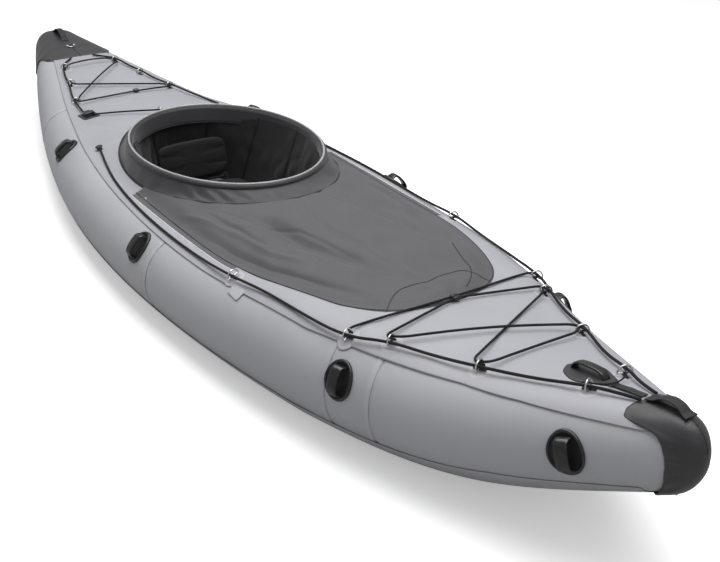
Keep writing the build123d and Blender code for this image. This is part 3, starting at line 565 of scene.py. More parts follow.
ROUTES = {
    "line_bow_left": (bow_line(1), 0.0068, 2.188), "line_bow_right": (bow_line(-1), 0.0068, 2.188),
    "line_stern_left": (stern_line(1), 0.0068, 0.769),
    "line_stern_right": (stern_line(-1), 0.0068, 0.580),
    "bungee_fore_1": (lacing((-1, 4, 2, -1), (1, 4, 2, -1), through(SLIDE_FORE, -0.0055, 0.0095)),
                      0.0058, 0.581),
    "bungee_fore_2": (lacing((-1, 5, 1, -1), (1, 5, 1, -1), through(SLIDE_FORE, 0.0055, 0.0095)),
                      0.0058, 0.510),
    "bungee_fore_3": (lacing((-1, 5, 2, 1), (1, 6, 1, -1), (), 5, 0.009), 0.0058, 0.450),
    "bungee_fore_4": (lacing((-1, 6, 1, -1), (1, 5, 2, 1), (), 5, 0.0005), 0.0058, 0.450),
    "bungee_fore_5": (lacing((-1, 6, 2, 1), (1, 6, 2, 1), (), 3, 0.001), 0.0058, 0.302),
    "bungee_fore_6": (lacing((-1, 7, 1, 1), (1, 7, 1, 1), [over(1.568, 0, 0.008)], 0, 0), 0.0035,
                      0.144),
    "bungee_aft_1": (lacing((-1, 0, 2, -1), (1, 0, 2, -1), (), 3, 0.007), 0.0058, 0.225),
    "bungee_aft_2": (lacing((-1, 1, 1, 1), (1, 2, 2, -1), (), 5, 0.0005), 0.0058, 0.399),
    "bungee_aft_3": (lacing((-1, 2, 2, -1), (1, 0, 1, 1), (), 5, 0.008), 0.0058, 0.477),
    "bungee_aft_4": (lacing((-1, 2, 1, 1), (1, 2, 1, 1), through(SLIDE_AFT, 0.0055, 0.008)),
                     0.0058, 0.422),
    "bungee_aft_5": (aft_cord(), 0.0058, 0.253),
}
for name, (points, diameter, length) in ROUTES.items():
    kind = ("cord", "line_cord") if name.startswith("line") else ("bungee", "bungee_cord")
    cord(name, points, diameter, length, *kind)
print(len(ROUTES), "cords,", round(sum(r[2] for r in ROUTES.values()), 2), "m in all")

# %% [markdown]
# ## Side tubes
# Each tube is its sections drawn full with air. Round seams pull it in a little, the cloth
# puckers beside them, and small rings of creases form where the tube narrows to the nose.
# %% Side tubes and their seams
SEAMS = (-0.985, 0.250, 0.990, 1.116)


def tube_point(side, x, angle, grow=0.0):
    """Point on a tube: its axis plus the radius turned up by the angle."""
    a = np.radians(angle)
    r = radius(x) + grow
    y = np.maximum(axis_y(x) + r * np.cos(a), 0.0004)
    return np.stack(np.broadcast_arrays(x, side * y, axis_z(x) + r * np.sin(a)), -1)


def seam_distance(P, x0):
    """Distance from the plane square to the tube's own axis at x0."""
    e = 0.002
    dy = (axis_y(x0 + e) - axis_y(x0 - e)) / (2 * e)
    dz = (axis_z(x0 + e) - axis_z(x0 - e)) / (2 * e)
    d = P[..., 0] - x0 + (np.abs(P[..., 1]) - axis_y(x0)) * dy + (P[..., 2] - axis_z(x0)) * dz
    return d / math.sqrt(1 + dy**2 + dz**2)


def pinch(d):
    return -0.0024 * bump_at(d, 0.007)


def seam_strip(side, x0, offsets, lift):
    """A narrow strip round the tube, at set distances from the seam's plane."""
    angle = np.linspace(0, 360, 120, endpoint=False)[None]
    s = np.asarray(offsets)[:, None] + 0 * angle
    x = x0 + s
    for step in range(6):
        x = x + s - seam_distance(tube_point(side, x, angle + 0 * x), x0)
    return tube_point(side, x, angle + 0 * x, pinch(s) + np.asarray(lift)[:, None])


xs = np.unique(np.concatenate([np.linspace(-1.772, 1.768, 330)] + [s + np.linspace(-0.05, 0.05,
        26) for s in SEAMS]))
angles = np.linspace(0, 360, 112, endpoint=False)
for side, name in ((1, "side_tube_left"), (-1, "side_tube_right")):
    X, A = np.meshgrid(xs, angles, indexing="ij")
    P = tube_point(side, X, A)
    grow = -0.0003 - 0.0005 * np.abs(ripple(P, 0.16, 5))
    for x0 in SEAMS:
        d = seam_distance(P, x0)
        grow += pinch(d) - 0.0006 * np.abs(ripple(P, 0.022, 8)) * bump_at(d, 0.035)
    nose = smooth_step(X, 1.690, 1.715)
    grow += nose * 0.0011 * (np.sin((X - 1.69) * 2 * np.pi / 0.011 + ripple(P, 0.09, 9)) - 1)
    close = np.maximum(smooth_step(X, 1.752, 1.768), smooth_step(-X, 1.755, 1.772))
    tube = surface(name + "_skin", [(tube_point(side, X, A, grow - 0.06 * close), True, side < 0)],
                   MAT["tube"])
    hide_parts(name)
tapes, lines = [], []
for side in (1, -1):
    for x0 in SEAMS:
        tapes.append((seam_strip(side, x0, (-0.013, -0.012, -0.006, 0.0, 0.001),
                                 (-0.0004, 0.0003, 0.0003, 0.0003, -0.0004)), True, side < 0))
        lines.append((seam_strip(side, x0, (-0.0004, 0.0002, 0.0010, 0.0016),
                                 (-0.0004, 0.0005, 0.0005, -0.0004)), True, side < 0))
surface("tube_seam_tape", tapes, MAT["light"])
surface("tube_seam_line", lines, MAT["seam"])
print("tube skin points", xs.size * angles.size)

# %% [markdown]
# ## Bottom sheet and decks
# The bottom is one sheet that wraps up the outer side of both tubes. The deck sheets run from
# their welds on the tubes to the cockpit, and end 16 mm under the edge of the cover.
# %% Bottom and decks
x = np.linspace(-1.60, 1.70, 300)[:, None]
wrap = np.interp(x, (-1.6, 1.2, 1.427, 1.60, 1.718), (-32, -31, -29, -36, -44))
side_angle = wrap + (-90 - wrap) * np.linspace(0, 1, 26)[None]
edge_lift = 0.0004 * bump_at((side_angle - wrap) / 1.6, 1)
arc = tube_point(1, x, side_angle, GAP + SKIN + edge_lift)
flat_y = arc[:, -1:, 1] * np.linspace(1, -1, 12)[None, 1:-1]
flat = np.stack([x + 0 * flat_y, flat_y, arc[:, -1:, 2] + 0 * flat_y], -1)
other = arc[:, ::-1] * (1, -1, 1)
bottom = surface("bottom_sheet", [(np.concatenate([arc, flat, other], 1), False, False)],
                 MAT["bottom"], wall=SKIN, out=-1)
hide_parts("bottom_skin")

OUTLINE = np.array([(-80, 322), (100, 321), (300, 317), (480, 310), (600, 297), (705, 276),
                    (843, 236),
                    (925, 204), (982, 165), (1023, 115), (1043, 60), (1050, 0)]) / 1000
HALF_EDGE = path_through(np.vstack([OUTLINE, OUTLINE[-2:-1] * (1, -1)]), 700)
HALF_EDGE = HALF_EDGE[HALF_EDGE[:, 1] >= 0]
RIM_X, RIM_Z, RIM_A, RIM_B, HOOP_R = -0.141, 0.322, 0.378, 0.275, 0.008
BASE_A, BASE_B = 0.470, 0.296


def deck_inner(x):
    """Half width of the opening in the decks: the cover's or the collar's outline less 16 mm."""
    front = np.interp(x, HALF_EDGE[:, 0], HALF_EDGE[:, 1]) - 0.016
    back = (BASE_B - 0.016) * np.sqrt(np.maximum(0, 1 - ((x - RIM_X) / (BASE_A - 0.016))**2))
    return np.clip(np.where(x > -0.08, np.where(x < 1.034, front, 0), back), 0, 1)


def away(x, y, line):
    """Distance from a line of points, and how far along it the nearest place is, 0 to 1."""
    line = np.asarray(line, float) / 1000
    best = np.full(np.shape(x), 9.0)
    along = np.zeros(np.shape(x))
    for i, (a, b) in enumerate(zip(line, line[1:])):
        ab = b - a
        t = np.clip(((x - a[0]) * ab[0] + (y - a[1]) * ab[1]) / (ab @ ab), 0, 1)
        d = np.hypot(x - a[0] - t * ab[0], y - a[1] - t * ab[1])
        along = np.where(d < best, (i + t) / (len(line) - 1), along)
        best = np.minimum(d, best)
    return best, along


def fold(x, y, line, width, depth):
    """A soft fold along a line, deepest in the middle and fading out at both ends."""
    d, along = away(x, y, line)
    return 1.7 * depth * bump_at(d, width) * np.sin(np.pi * np.clip(0.12 + 0.76 * along, 0, 1))


DECK_FOLDS = [
    ([(-737, -230), (-590, -152)], 0.016, -0.0016), ([(-490, -265), (-475, -121)], 0.014, -0.0014),
    ([(-284, -291), (-308, -241)], 0.010, -0.0010), ([(-737, 230), (-590, 152)], 0.016, -0.0012),
    ([(1210, -150), (1330, 20), (1300, 150)], 0.020, -0.0010),
    ([(1130, -60), (1240, 80)], 0.016, -0.0010),
    ([(-1060, -90), (-900, 60)], 0.018, -0.0012), ([(-1230, 60), (-1040, -60)], 0.016, -0.0010),
]
halves = []
x = np.unique(np.concatenate([np.linspace(-1.60, 1.70, 440), np.linspace(-0.60, -0.56, 20),
                              np.linspace(1.0, 1.04, 20)]))[:, None]
edge_angle = np.interp(x, (-1.8, -1.35, -0.9, -0.45, 0, 0.45, 0.9, 1.1, 1.319, 1.452, 1.537, 1.616,
                           1.689),
                       (84, 84, 82, 77, 70, 60, 52, 54, 58, 54, 49, 44, 39))
outer_y = axis_y(x) + radius(x) * np.cos(np.radians(edge_angle))
for side in (1, -1):
    inner_y = np.minimum(deck_inner(x), outer_y - 0.01)
    y = inner_y + (outer_y - inner_y) * np.linspace(0, 1, 64)[None]
    X = x + 0 * y
    Y = side * y
    nose = axis_z(X) + np.sqrt(np.maximum(0, (radius(X) + GAP + SKIN)**2 - (y - axis_y(X))**2))
    z = np.where(axis_y(X) < 0, nose, deck_z(X, Y, GAP + SKIN))
    P = np.stack([X, Y, z], -1)
    free = smooth_step(outer_y - y, 0.004, 0.05)
    z = z + free * sum(fold(X, Y, *f) for f in DECK_FOLDS) + free * 0.0005 * (ripple(P, 0.13,
            12) - 0.6)
    halves.append((np.stack([X, Y, z], -1), False, side > 0))
decks = surface("deck_sheets", halves, MAT["deck"], wall=SKIN, out=-1)
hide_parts("bow_deck", "stern_deck", "side_decks")


def deck_line(line, width, lift, count=60, smooth=True):
    """A thin strip on the deck along a line of points given in millimetres."""
    p = path_through(np.asarray(line, float) / 1000, count) if smooth else np.asarray(line,
            float) / 1000
    way = np.gradient(p, axis=0)
    across = np.stack([-way[:, 1], way[:, 0]], -1) / np.linalg.norm(way, axis=1)[:, None]
    rows = np.array([-1, -0.8, 0, 0.8, 1]) * width / 2
    xy = p[:, None] + across[:, None] * rows[None, :, None]
    z = deck_z(xy[..., 0], xy[..., 1], lift) + np.array([-0.0008, 0, 0.0001, 0, -0.0008])
    return np.dstack([xy, z]), False, True


weld = GAP + SKIN + 0.0007
welds = [deck_line([(-933, 16), (-830, 4), (-732, -12)], 0.0016, weld)]
for side in (-1, 1):
    for dy in (0, 9):
        welds.append(deck_line([(-473, side * (285 + dy)), (-261, side * (317 + dy)),
                                (-48, side * (338 + dy)),
                                (79, side * (344 + dy))], 0.0014, weld))
surface("deck_weld_lines", welds, MAT["seam"])
c, s = squared(64, 0.3)
corner = np.stack([0.636 + 0.026 * c, -0.352 + 0.013 * s], -1)
tag = surface("deck_tag", [(decal(corner, (0.636, -0.352), GAP + SKIN + 0.0002, 0.0014), True,
                            False)], MAT["light"])
print("deck edge angles", edge_angle.min(), edge_angle.max())

# %% [markdown]
# ## Cockpit cover
# One soft cloth from the seam below the coaming to its tongue-shaped front. The long troughs are
# the slack of the cloth between the tubes, and the darts at the front are sewn seams.
# %% Cover cloth
TROUGHS = [
    ([(250, -312), (362, -303), (504, -292), (640, -268), (769, -222), (920, -160)], 0.017,
     -0.0105),
    ([(330, -180), (411, -142), (583, -130), (748, -87), (856, -59)], 0.026, -0.013),
    ([(392, -19), (560, -40), (760, -20), (964, -5)], 0.007, -0.0022),
    ([(264, -211), (514, -104), (750, -68)], 0.005, -0.0020),
    ([(306, 250), (399, 270), (733, 170)], 0.016, -0.0060),
    ([(300, 60), (480, 120), (700, 150)], 0.012, -0.0030),
    ([(400, -232), (560, -225), (700, -180)], 0.012, 0.0040),
    ([(250, -240), (380, -222), (520, -212)], 0.009, -0.0040),
    ([(170, -300), (280, -262), (420, -240)], 0.010, 0.0030),
]
edge = np.vstack([HALF_EDGE * (1, -1), HALF_EDGE[::-1][1:]])
step = np.concatenate([[0], np.cumsum(np.linalg.norm(np.diff(edge, axis=0), axis=1))])
at = np.linspace(0, step[-1], 340)
edge = np.stack([np.interp(at, step, edge[:, 0]), np.interp(at, step, edge[:, 1])], -1)
first = math.acos((-0.080 - RIM_X) / BASE_A)
t = np.linspace(-first, first, 340)
base = np.stack([RIM_X + BASE_A * np.cos(t), BASE_B * np.sin(t)], -1)
v = np.linspace(0, 1, 120)[None, :, None]
XY = edge[:, None] * (1 - v) + base[:, None] * v


def cover_z(x, y):
    """Height of the cover's cloth: the deck it lies on, lifted a little away from its edge,
    and every fold added."""
    z = deck_z(x, y, 2 * (GAP + SKIN))
    d_edge = away(np.abs(x) * np.sign(x), np.abs(y), OUTLINE * 1000)[0]
    inside = smooth_step(d_edge, 0.006, 0.05)
    P = np.stack([x, y, 0 * x], -1)
    z = z + inside * (0.0105 + sum(fold(x, y, *f) for f in TROUGHS) + 0.0014 * ripple(P, 0.12, 21))
    strip = smooth_step(x, 0.90, 0.99)
    slack = 0.030 * smooth_step(0.9 * axis_y(x) - np.abs(y), 0.0, 0.07)
    z = np.maximum(z, deck_z(x, y, 2 * (GAP + SKIN)) - slack)
    return z + (1 - inside) * strip * 0.0005 * np.abs(ripple(P, 0.03,
            22)) + strip * inside * 0.0016 * ripple(P, 0.045, 23)


Z = cover_z(XY[..., 0], XY[..., 1])
cover = surface("cover_cloth", [(np.dstack([XY, Z]), False, False)], MAT["cover"], wall=SKIN,
                out=-1)
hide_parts("cockpit_cover")


def cover_seam(line, width, raise_by=0.0009, count=80):
    p = path_through(np.asarray(line, float) / 1000, count)
    way = np.gradient(p, axis=0)
    across = np.stack([-way[:, 1], way[:, 0]], -1) / np.linalg.norm(way, axis=1)[:, None]
    rows = np.array([-1, -0.8, 0, 0.8, 1]) * width / 2
    xy = p[:, None] + across[:, None] * rows[None, :, None]
    z = cover_z(xy[..., 0], xy[..., 1]) + raise_by + np.array([-0.0012, 0, 0.0001, 0, -0.0012])
    return np.dstack([xy, z]), False, True


seams = [
    cover_seam([(787, 184), (865, 151), (923, 133), (955, 117), (991, 87), (1013, 59)], 0.0022),
    cover_seam([(997, -154), (968, -118), (948, -74), (947, 3), (941, 56), (945, 98), (969, 118),
                (1004, 136)], 0.0022),
]
round_edge = edge * 1000
seams.append(cover_seam(round_edge[::12] * (1,
                                            1) - np.array((4,
                                                    0)) * (np.abs(round_edge[::12, :1]) > 900),
                                                    0.0020, 0.0008, 300))
surface("cover_seams", seams, MAT["thread"])

# %% [markdown]
# ## Coaming
# The collar slopes from the seam up to the hoop that keeps the mouth open. A light grey welt runs
# along the top, its brightness partly its own and partly painted highlight, and the black lining
# hangs inside.
# %% Collar, hoop, welt and lining
t = np.linspace(0, 2 * np.pi, 300, endpoint=False)[:, None]
v = np.linspace(0, 1, 30)[None]
bx, by = RIM_X + (BASE_A + 0.002) * np.cos(t), (BASE_B + 0.002) * np.sin(t)
blend = smooth_step(bx, -0.14, -0.02)
low_z = deck_z(bx, by, 2 * (GAP + SKIN)) * (1 - blend) + cover_z(bx, by) * blend + 0.0006
tx, ty = RIM_X + (RIM_A + 0.006) * np.cos(t), (RIM_B + 0.006) * np.sin(t)
X = bx + (tx - bx) * v
Y = by + (ty - by) * v
Z = low_z + (RIM_Z - 0.004 - low_z) * v
sag = np.sin(np.pi * v)
P = np.stack([X, Y, Z], -1)
front = smooth_step(np.cos(t), -0.2, 0.8)
diagonal = np.sin(t * 34 + v * 3.2 + 1.2 * ripple(P, 0.2, 31)) * bump_at((t % (2 * np.pi)) - 5.6,
        0.45)
Z = Z - sag * 0.008 + sag * 0.0028 * ripple(P, 0.10, 32) + sag * 0.0045 * diagonal * front
collar_grid = np.stack([X, Y, Z], -1).transpose(1, 0, 2)
collar = surface("coaming_collar_cloth", [(collar_grid, True, True)], MAT["collar"], wall=0.0012,
                 out=-1)
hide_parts("coaming_collar")


def oval_cord(a, b, z, r, count=300, around=16):
    """A round section carried along an ellipse."""
    t = np.linspace(0, 2 * np.pi, count + 1)[:, None]
    s = np.linspace(0, 2 * np.pi, around, endpoint=False)[None]
    n = np.hypot(b * np.cos(t), a * np.sin(t))
    nx, ny = b * np.cos(t) / n, a * np.sin(t) / n
    X = RIM_X + a * np.cos(t) + r * np.cos(s) * nx
    Y = b * np.sin(t) + r * np.cos(s) * ny
    return np.stack([X, Y, z + r * np.sin(s) + 0 * X], -1)


hoop = surface("coaming_sleeve", [(oval_cord(RIM_A, RIM_B, RIM_Z, 0.0088), True, True)],
               MAT["sleeve"])
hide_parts("coaming_hoop")
# The welt on the hoop's top: its light colour is partly painted highlight there.
welt = surface("coaming_welt_and_painted_highlight", [(oval_cord(RIM_A - 0.001, RIM_B - 0.001, RIM_Z + HOOP_R + 0.0012,
                                           0.0030), True, True)], MAT["piping"])
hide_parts("coaming_piping")
t = np.linspace(0, 2 * np.pi, 301)
dark = [(np.stack([RIM_X + (BASE_A + k) * np.cos(t), (BASE_B + k) * np.sin(t),
                   deck_z(RIM_X + (BASE_A + k) * np.cos(t), (BASE_B + k) * np.sin(t), 0.0058 + h)
                   + 0.0068 * smooth_step(RIM_X + BASE_A * np.cos(t), -0.05, 0.1)], -1))
        for k, h in ((-0.0025, 0.0020), (-0.0015, 0.0032), (0.001, 0.0028), (0.003, 0.0014),
                     (0.004, -0.002))]
surface("collar_base_seam", [(np.stack(dark, 1), False, False)], MAT["thread"])

a = np.linspace(math.pi, math.pi / 2.0 * 0.9, 60)
back_top = np.stack([RIM_X + 0.371 * np.cos(a), 0.266 * np.sin(a), 0.314 + 0 * a], -1)
back_low = np.stack([RIM_X + 0.400 * np.cos(a), 0.180 * np.sin(a), 0.0785 + 0 * a], -1)
keep = back_top[:, 0] < -0.09
back_top, back_low = back_top[keep], back_low[keep]
wall_top = path_through([(-0.081, 0.259, 0.312), (0.040, 0.231, 0.308), (0.120, 0.190, 0.306),
                         (0.160, 0.212, 0.255), (0.300, 0.194, 0.222)], 40)
wall_low = path_through([(-0.081, 0.178, 0.0785), (0.040, 0.176, 0.0785), (0.120, 0.175, 0.0785),
                         (0.160, 0.173, 0.0785), (0.300, 0.158, 0.0785)], 40)
top = np.concatenate([back_top, wall_top])
low = np.concatenate([back_low, wall_low])
v = np.linspace(0, 1, 26)[None, :, None]
P = top[:, None] * (1 - v) + low[:, None] * v
slack = (np.sin(np.pi * v[..., 0]) * 0.003 * (ripple(P, 0.11, 41) + 0.8 * ripple(P * (1, 1, 0.25),
        0.05, 42)))
inward = np.zeros_like(P)
inward[..., 0] = -(P[..., 0] - RIM_X) * (P[..., 0] < RIM_X)
inward[..., 1] = -P[..., 1]
inward /= np.linalg.norm(inward, axis=-1)[..., None] + 1e-9
P = P + inward * np.abs(slack)[..., None]
lining = surface("cockpit_lining", [(P, False, True), (P * (1, -1, 1), False, False)],
                 MAT["liner"], wall=0.0012, out=-1)
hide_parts("cockpit_liner")
ribs = []
for start in (14, 34, 52, 70):
    for side in (1, -1):
        if start < len(top):
            line = P[start] * (1, side, 1)
            shift = unit(top[min(start + 1, len(top) - 1)] - top[start - 1]) * (1, side, 1)
            inner = inward[start] * (1, side, 1)
            rows = [line + shift * s * 0.0045 + inner * h for s,
                    h in ((-1.1, -0.0004), (-0.8, 0.0014), (0.8, 0.0014), (1.1, -0.0004))]
            ribs.append((np.stack(rows, 1), False, side > 0))
surface("lining_seams", ribs, MAT["dish"])
a = np.linspace(0, 2 * np.pi, 301)[:, None]
deep = 0.015 + 0.037 * smooth_step(-np.cos(a), -0.75, 0.1)
v = np.linspace(0, 1, 8)[None]
r_in = 0.0095 + 0.004 * v
band_grid = np.stack([RIM_X + (RIM_A - r_in) * np.cos(a), (RIM_B - r_in) * np.sin(a),
                      RIM_Z + 0.004 - deep * v], -1)
inner_band = surface("coaming_inner_band", [(band_grid, False, True)], MAT["collar"], wall=0.001,
                     out=-1)
surface("inner_band_edge",
                [(np.stack([band_grid[:, -1] + (0, 0, h) - (band_grid[:, -1] - (RIM_X, 0, 0)) * (1,
                        1, 0) * k
                                               for h,
                                               k in ((0.002, 0.001), (0.0012, 0.007),
                                                     (-0.0012, 0.007), (-0.002, 0.001))], 1),
                                                     False, True)],
                MAT["thread"])
print("coaming done")

# %% [markdown]
# ## End caps
# A dark coated cap is glued over each end. Its edge is cut on a slant, the cloth gathers there,
# and a seam runs down the middle of the nose.
# %% Bow and stern caps
BOW_EDGE = np.array([(-90, 1690), (-64, 1725), (-44, 1742), (-28, 1748), (-4, 1750), (12, 1746),
                     (27, 1736),
                     (38, 1723), (43, 1709), (49, 1673), (55, 1643), (66, 1635), (79, 1637),
                     (90, 1650)])
STERN_EDGE = np.array([(-90, 1600), (0, 1560), (22, 1527), (39, 1540), (52, 1515), (63, 1480),
                       (75, 1458), (90, 1445)])


def cap_grid(end, edge_table, rows=70, around=160):
    """Sections of an oval (bow) or a slot (stern) from the slanted edge to the rounded nose."""
    if end > 0:
        a = np.linspace(0, 2 * np.pi, around, endpoint=False)
        c, s, k = np.cos(a), np.sin(a), np.zeros(around)
    else:
        arc = np.linspace(-np.pi / 2, np.pi / 2, around // 2 - 6)
        line = np.linspace(1, -1, 8)[1:-1]
        one = np.ones(arc.size)
        c = np.concatenate([np.cos(arc), 0 * line, -np.cos(arc), 0 * line])
        s = np.concatenate([np.sin(arc), 1 + 0 * line, np.sin(arc[::-1]), -1 + 0 * line])
        k = np.concatenate([one, line, -one, -line])
    up = np.degrees(np.arctan2(s, np.abs(c)))
    start = np.interp(up, edge_table[:, 0], edge_table[:, 1]) / 1000
    t = np.sin(np.linspace(0, np.pi / 2, rows))[:, None]
    reach = start[None] + (1.8 - start[None]) * t
    X = end * reach
    close = np.clip((reach - 1.735) / 0.065, 0, 1)
    shrink = np.maximum(0, 1 - close**2.6)**(1 / 2.3)
    grow = 0.0005 + 0.0035 * smooth_step(reach - start[None], 0.0, 0.004)
    P0 = np.stack([X, c + 0 * X, s + 0 * X], -1)
    gather = bump_at(reach - start[None] - 0.008, 0.022) * smooth_step(reach - start[None], 0.0,
            0.006)
    pleat = np.sin(13 * np.radians(up)[None] + 2.0 * ripple(P0 * (3, 1, 1), 1.3,
            51)) + 0.7 * ripple(P0 * (2, 1, 1), 0.35, 52)
    grow = grow + 0.0011 * gather * pleat + 0.0006 * smooth_step(reach - start[None], 0,
            0.02) * ripple(P0 * (12, 1, 1), 0.9, 53)
    ay, r = axis_y(X), radius(X)
    high = np.sqrt(r**2 - np.minimum(ay, 0)**2)
    if end > 0:
        Y = (ay + r + grow) * shrink * c
        Z = axis_z(X) + (high + grow) * shrink * s
    else:
        crown = table(DECK_CROWN, X) * (1 - k**2) * (s > 0)
        Y = (ay * k + (high + grow) * c) * shrink
        Z = axis_z(X) + (high + grow + 0.0015) * shrink * s + crown * shrink
    return np.stack([X, Y, Z], -1)


bow = cap_grid(1, BOW_EDGE)
stern = cap_grid(-1, STERN_EDGE)
for name, grid, flip in (("bow_cap", bow, False), ("stern_cap", stern, True)):
    cap = surface(name + "_cloth", [(grid, True, flip)], MAT["cap"])
    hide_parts(name)
seams = []
for grid in (bow, stern):
    top_i = int(np.argmax(grid[0, :, 2]))
    line = np.concatenate([grid[:, top_i]])
    line[:, 1] = 0
    line = line[np.abs(line[:, 0]) < 1.799]
    rows = [line + (0, w, h) for w,
            h in ((-0.0022, -0.001), (-0.0016, 0.0007), (0.0016, 0.0007), (0.0022, -0.001))]
    seams.append((np.stack(rows, 1), False, grid is stern))
surface("cap_seams", seams, MAT["thread"])

# %% [markdown]
# ## Carrying bands, bow patch and its handle
# %% Bands and the bow patch
def top_z(x):
    r, ay = radius(x), axis_y(x)
    return axis_z(x) + np.sqrt(r**2 - np.minimum(ay, 0)**2) + 0.004


def carry(name, pts, half_width, node):
    p = path_through(np.asarray(pts, float) / 1000, 60)
    path = np.stack([p[:, 0], 0 * p[:, 0], top_z(p[:, 0]) + p[:, 1] + 0.0012], -1)
    wide = half_width * (1 + 0.25 * (bump_at(np.linspace(0, 1, 60),
                                             0.16) + bump_at(np.linspace(1, 0, 60), 0.16)))
    strap = surface(name, [(band(path, (0, 1, 0), wide, 0.0017, 0.4), True, False)], MAT["strap"],
                    body="hull")
    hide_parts(node)


carry("bow_carry_band", [(1652, 2), (1668, 4), (1684, 12), (1705, 16), (1726, 12), (1740, 4),
                         (1752, 2)], 0.012, "bow_cap_band")
carry("stern_carry_band", [(-1742, 2), (-1728, 5), (-1710, 20), (-1680, 26), (-1650, 20),
                           (-1632, 5), (-1618, 2)], 0.0115, "stern_band")
drop = np.array([(1432, 8), (1450, 30), (1490, 42), (1530, 28), (1560, 13), (1567, 0), (1560, -13),
                 (1530, -28),
                 (1490, -42), (1450, -30), (1432, -8), (1430, 0)]) / 1000
outline = path_through(np.vstack([drop, drop[:1]]), 121)[:-1]
plate = surface("bow_plate", [(decal(outline, (1.495, 0.0), GAP + SKIN + 0.0003, 0.0042), True,
                               True)], MAT["patch"])
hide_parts("bow_patch")
frame_bow = deck_frame(1.495, 0.0, GAP + SKIN)
arch = path_through([(-46, 3), (-43, 10), (-36, 17), (-22, 20.5), (0, 21.5), (22, 20.5), (36, 17),
                     (43, 10), (46, 3)], 60) / 1000
grip_path = local(frame_bow, arch[:, 0], 0, arch[:, 1])
grip = surface("bow_grip_bar", [(band(grip_path, frame_bow[2], 0.0095, 0.0028, 0.45), True,
                                 False)], MAT["rubber"])
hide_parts("bow_grip")
xs_strap = np.linspace(1.556, 1.640, 40)
strap_path = np.stack([xs_strap, 0 * xs_strap,
                       deck_z(xs_strap, 0,
                              GAP + SKIN) + 0.0042 + 0.0012 * bump_at(xs_strap - 1.600, 0.012)], -1)
strap = surface("bow_webbing", [(band(strap_path, (0, 1, 0), 0.008, 0.0009, 0.4), True, False)],
                MAT["strap"])
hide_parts("bow_strap")

# %% [markdown]
# ## Grab handles
# Eight moulded rubber handles, each an oval base with a raised rim and a dish, bent to the tube,
# and a flat bar that bridges the dish from its two ends.
# %% Handles
HANDLES = [(-0.630, 52), (0.174, 40), (1.058, 22), (1.582, 6)]
HANDLE_HALF_WIDE, HANDLE_HALF_LONG = 0.039, 0.047      # the base, along the tube and round it


def saddle(frame_at, R, u, v, h):
    """A place on the handle: along the tube, round it, and out; round it the tube falls away by
    the square of the distance over twice its radius."""
    o, ahead, side_way, up = frame_at
    u, v, h = np.broadcast_arrays(u, v, h)
    drop_by = v**2 / (2 * R)
    return o + u[..., None] * ahead + v[..., None] * side_way + (h - drop_by)[..., None] * up


bases, dishes, bars = [], [], []
a = np.linspace(0, 2 * np.pi, 72, endpoint=False)[None]
for station, turn in HANDLES:
    for side in (1, -1):
        place = tube_frame(side, station, turn)
        R = float(radius(station))
        size = np.array([1.00, 1.012, 1.01, 0.985, 0.94, 0.89, 0.85, 0.83, 0.82])[:, None]
        rise = np.array([-0.3, 1.6, 4.2, 5.8, 6.4, 5.9, 4.4, 2.8, 1.2])[:, None] / 1000
        bases.append((saddle(place, R, HANDLE_HALF_WIDE * size * np.cos(a),
                             HANDLE_HALF_LONG * size * np.sin(a), rise), True, side > 0))
        size = np.array([0.84, 0.8, 0.6, 0.4, 0.2, 0.0])[:, None]
        rise = np.array([2.6, 1.8, 1.2, 1.0, 1.0, 1.0])[:, None] / 1000
        dishes.append((saddle(place, R, HANDLE_HALF_WIDE * size * np.cos(a),
                              HANDLE_HALF_LONG * size * np.sin(a), rise), True, side > 0))
        vh = path_through([(-32, 1), (-31.5, 6), (-30, 12), (-25, 17.5), (-14, 20.5), (0, 21),
                           (14, 20.5), (25, 17.5),
                           (30, 12), (31.5, 6), (32, 1)], 70) / 1000
        o, ahead, side_way, up = place
        path = o + vh[:, :1] * side_way + vh[:, 1:] * up
        flare = 0.0140 + 0.0028 * np.abs(np.linspace(-1, 1, 70))**3
        bars.append((band(path, ahead, flare, 0.0034, 0.5, 28), True, False))
base_obj = surface("grab_handle_bases", bases, MAT["rubber"])
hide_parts("handle_bases")
dish_obj = surface("grab_handle_dishes", dishes, MAT["dish"])
bar_obj = surface("grab_handle_bars", bars, MAT["rubber"])
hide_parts("handle_bars", "handle_posts")
print(len(bars), "grab handles")

# %% [markdown]
# ## Patches, stops and clips
# %% Small fittings on the deck
pads = []
for x, y, turn in RINGS:
    for side in (1, -1):
        pads.append((decal(ellipse(0.025, 0.025, x, side * y), (x, side * y), GAP + SKIN + 0.0002,
                           0.0014), True, True))
patches = surface("ring_pads", [(g, r, not f) for g, r, f in pads], MAT["light"])
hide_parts("ring_patches")
c, s = squared(64, 0.35)
pad_outline = np.stack([BUCKLE[0] + 0.042 * c, -BUCKLE[1] + 0.031 * s], -1)
pad = surface("buckle_base", [(decal(pad_outline, (BUCKLE[0], -BUCKLE[1]), GAP + SKIN + 0.0002,
                                     0.0022), True, False)], MAT["patch"])
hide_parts("buckle_pad")
a = np.linspace(0, 2 * np.pi, 40, endpoint=False)[None]
knobs = []
for side in (1, -1):
    place = deck_frame(KNOB[0], side * KNOB[1], GAP + SKIN + 0.0005)
    r = np.array([9, 9, 8.4, 9.5, 11.6, 12, 11.6, 9, 0])[:, None] / 1000
    h = np.array([0, 5, 8.5, 9.2, 9.6, 11, 12.5, 13, 13.2])[:, None] / 1000
    knobs.append((local(place, r * np.cos(a), r * np.sin(a), h + 0 * a), True, True))
stops = surface("line_end_stops", knobs, MAT["plastic"])
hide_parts("line_stops")
clips = []
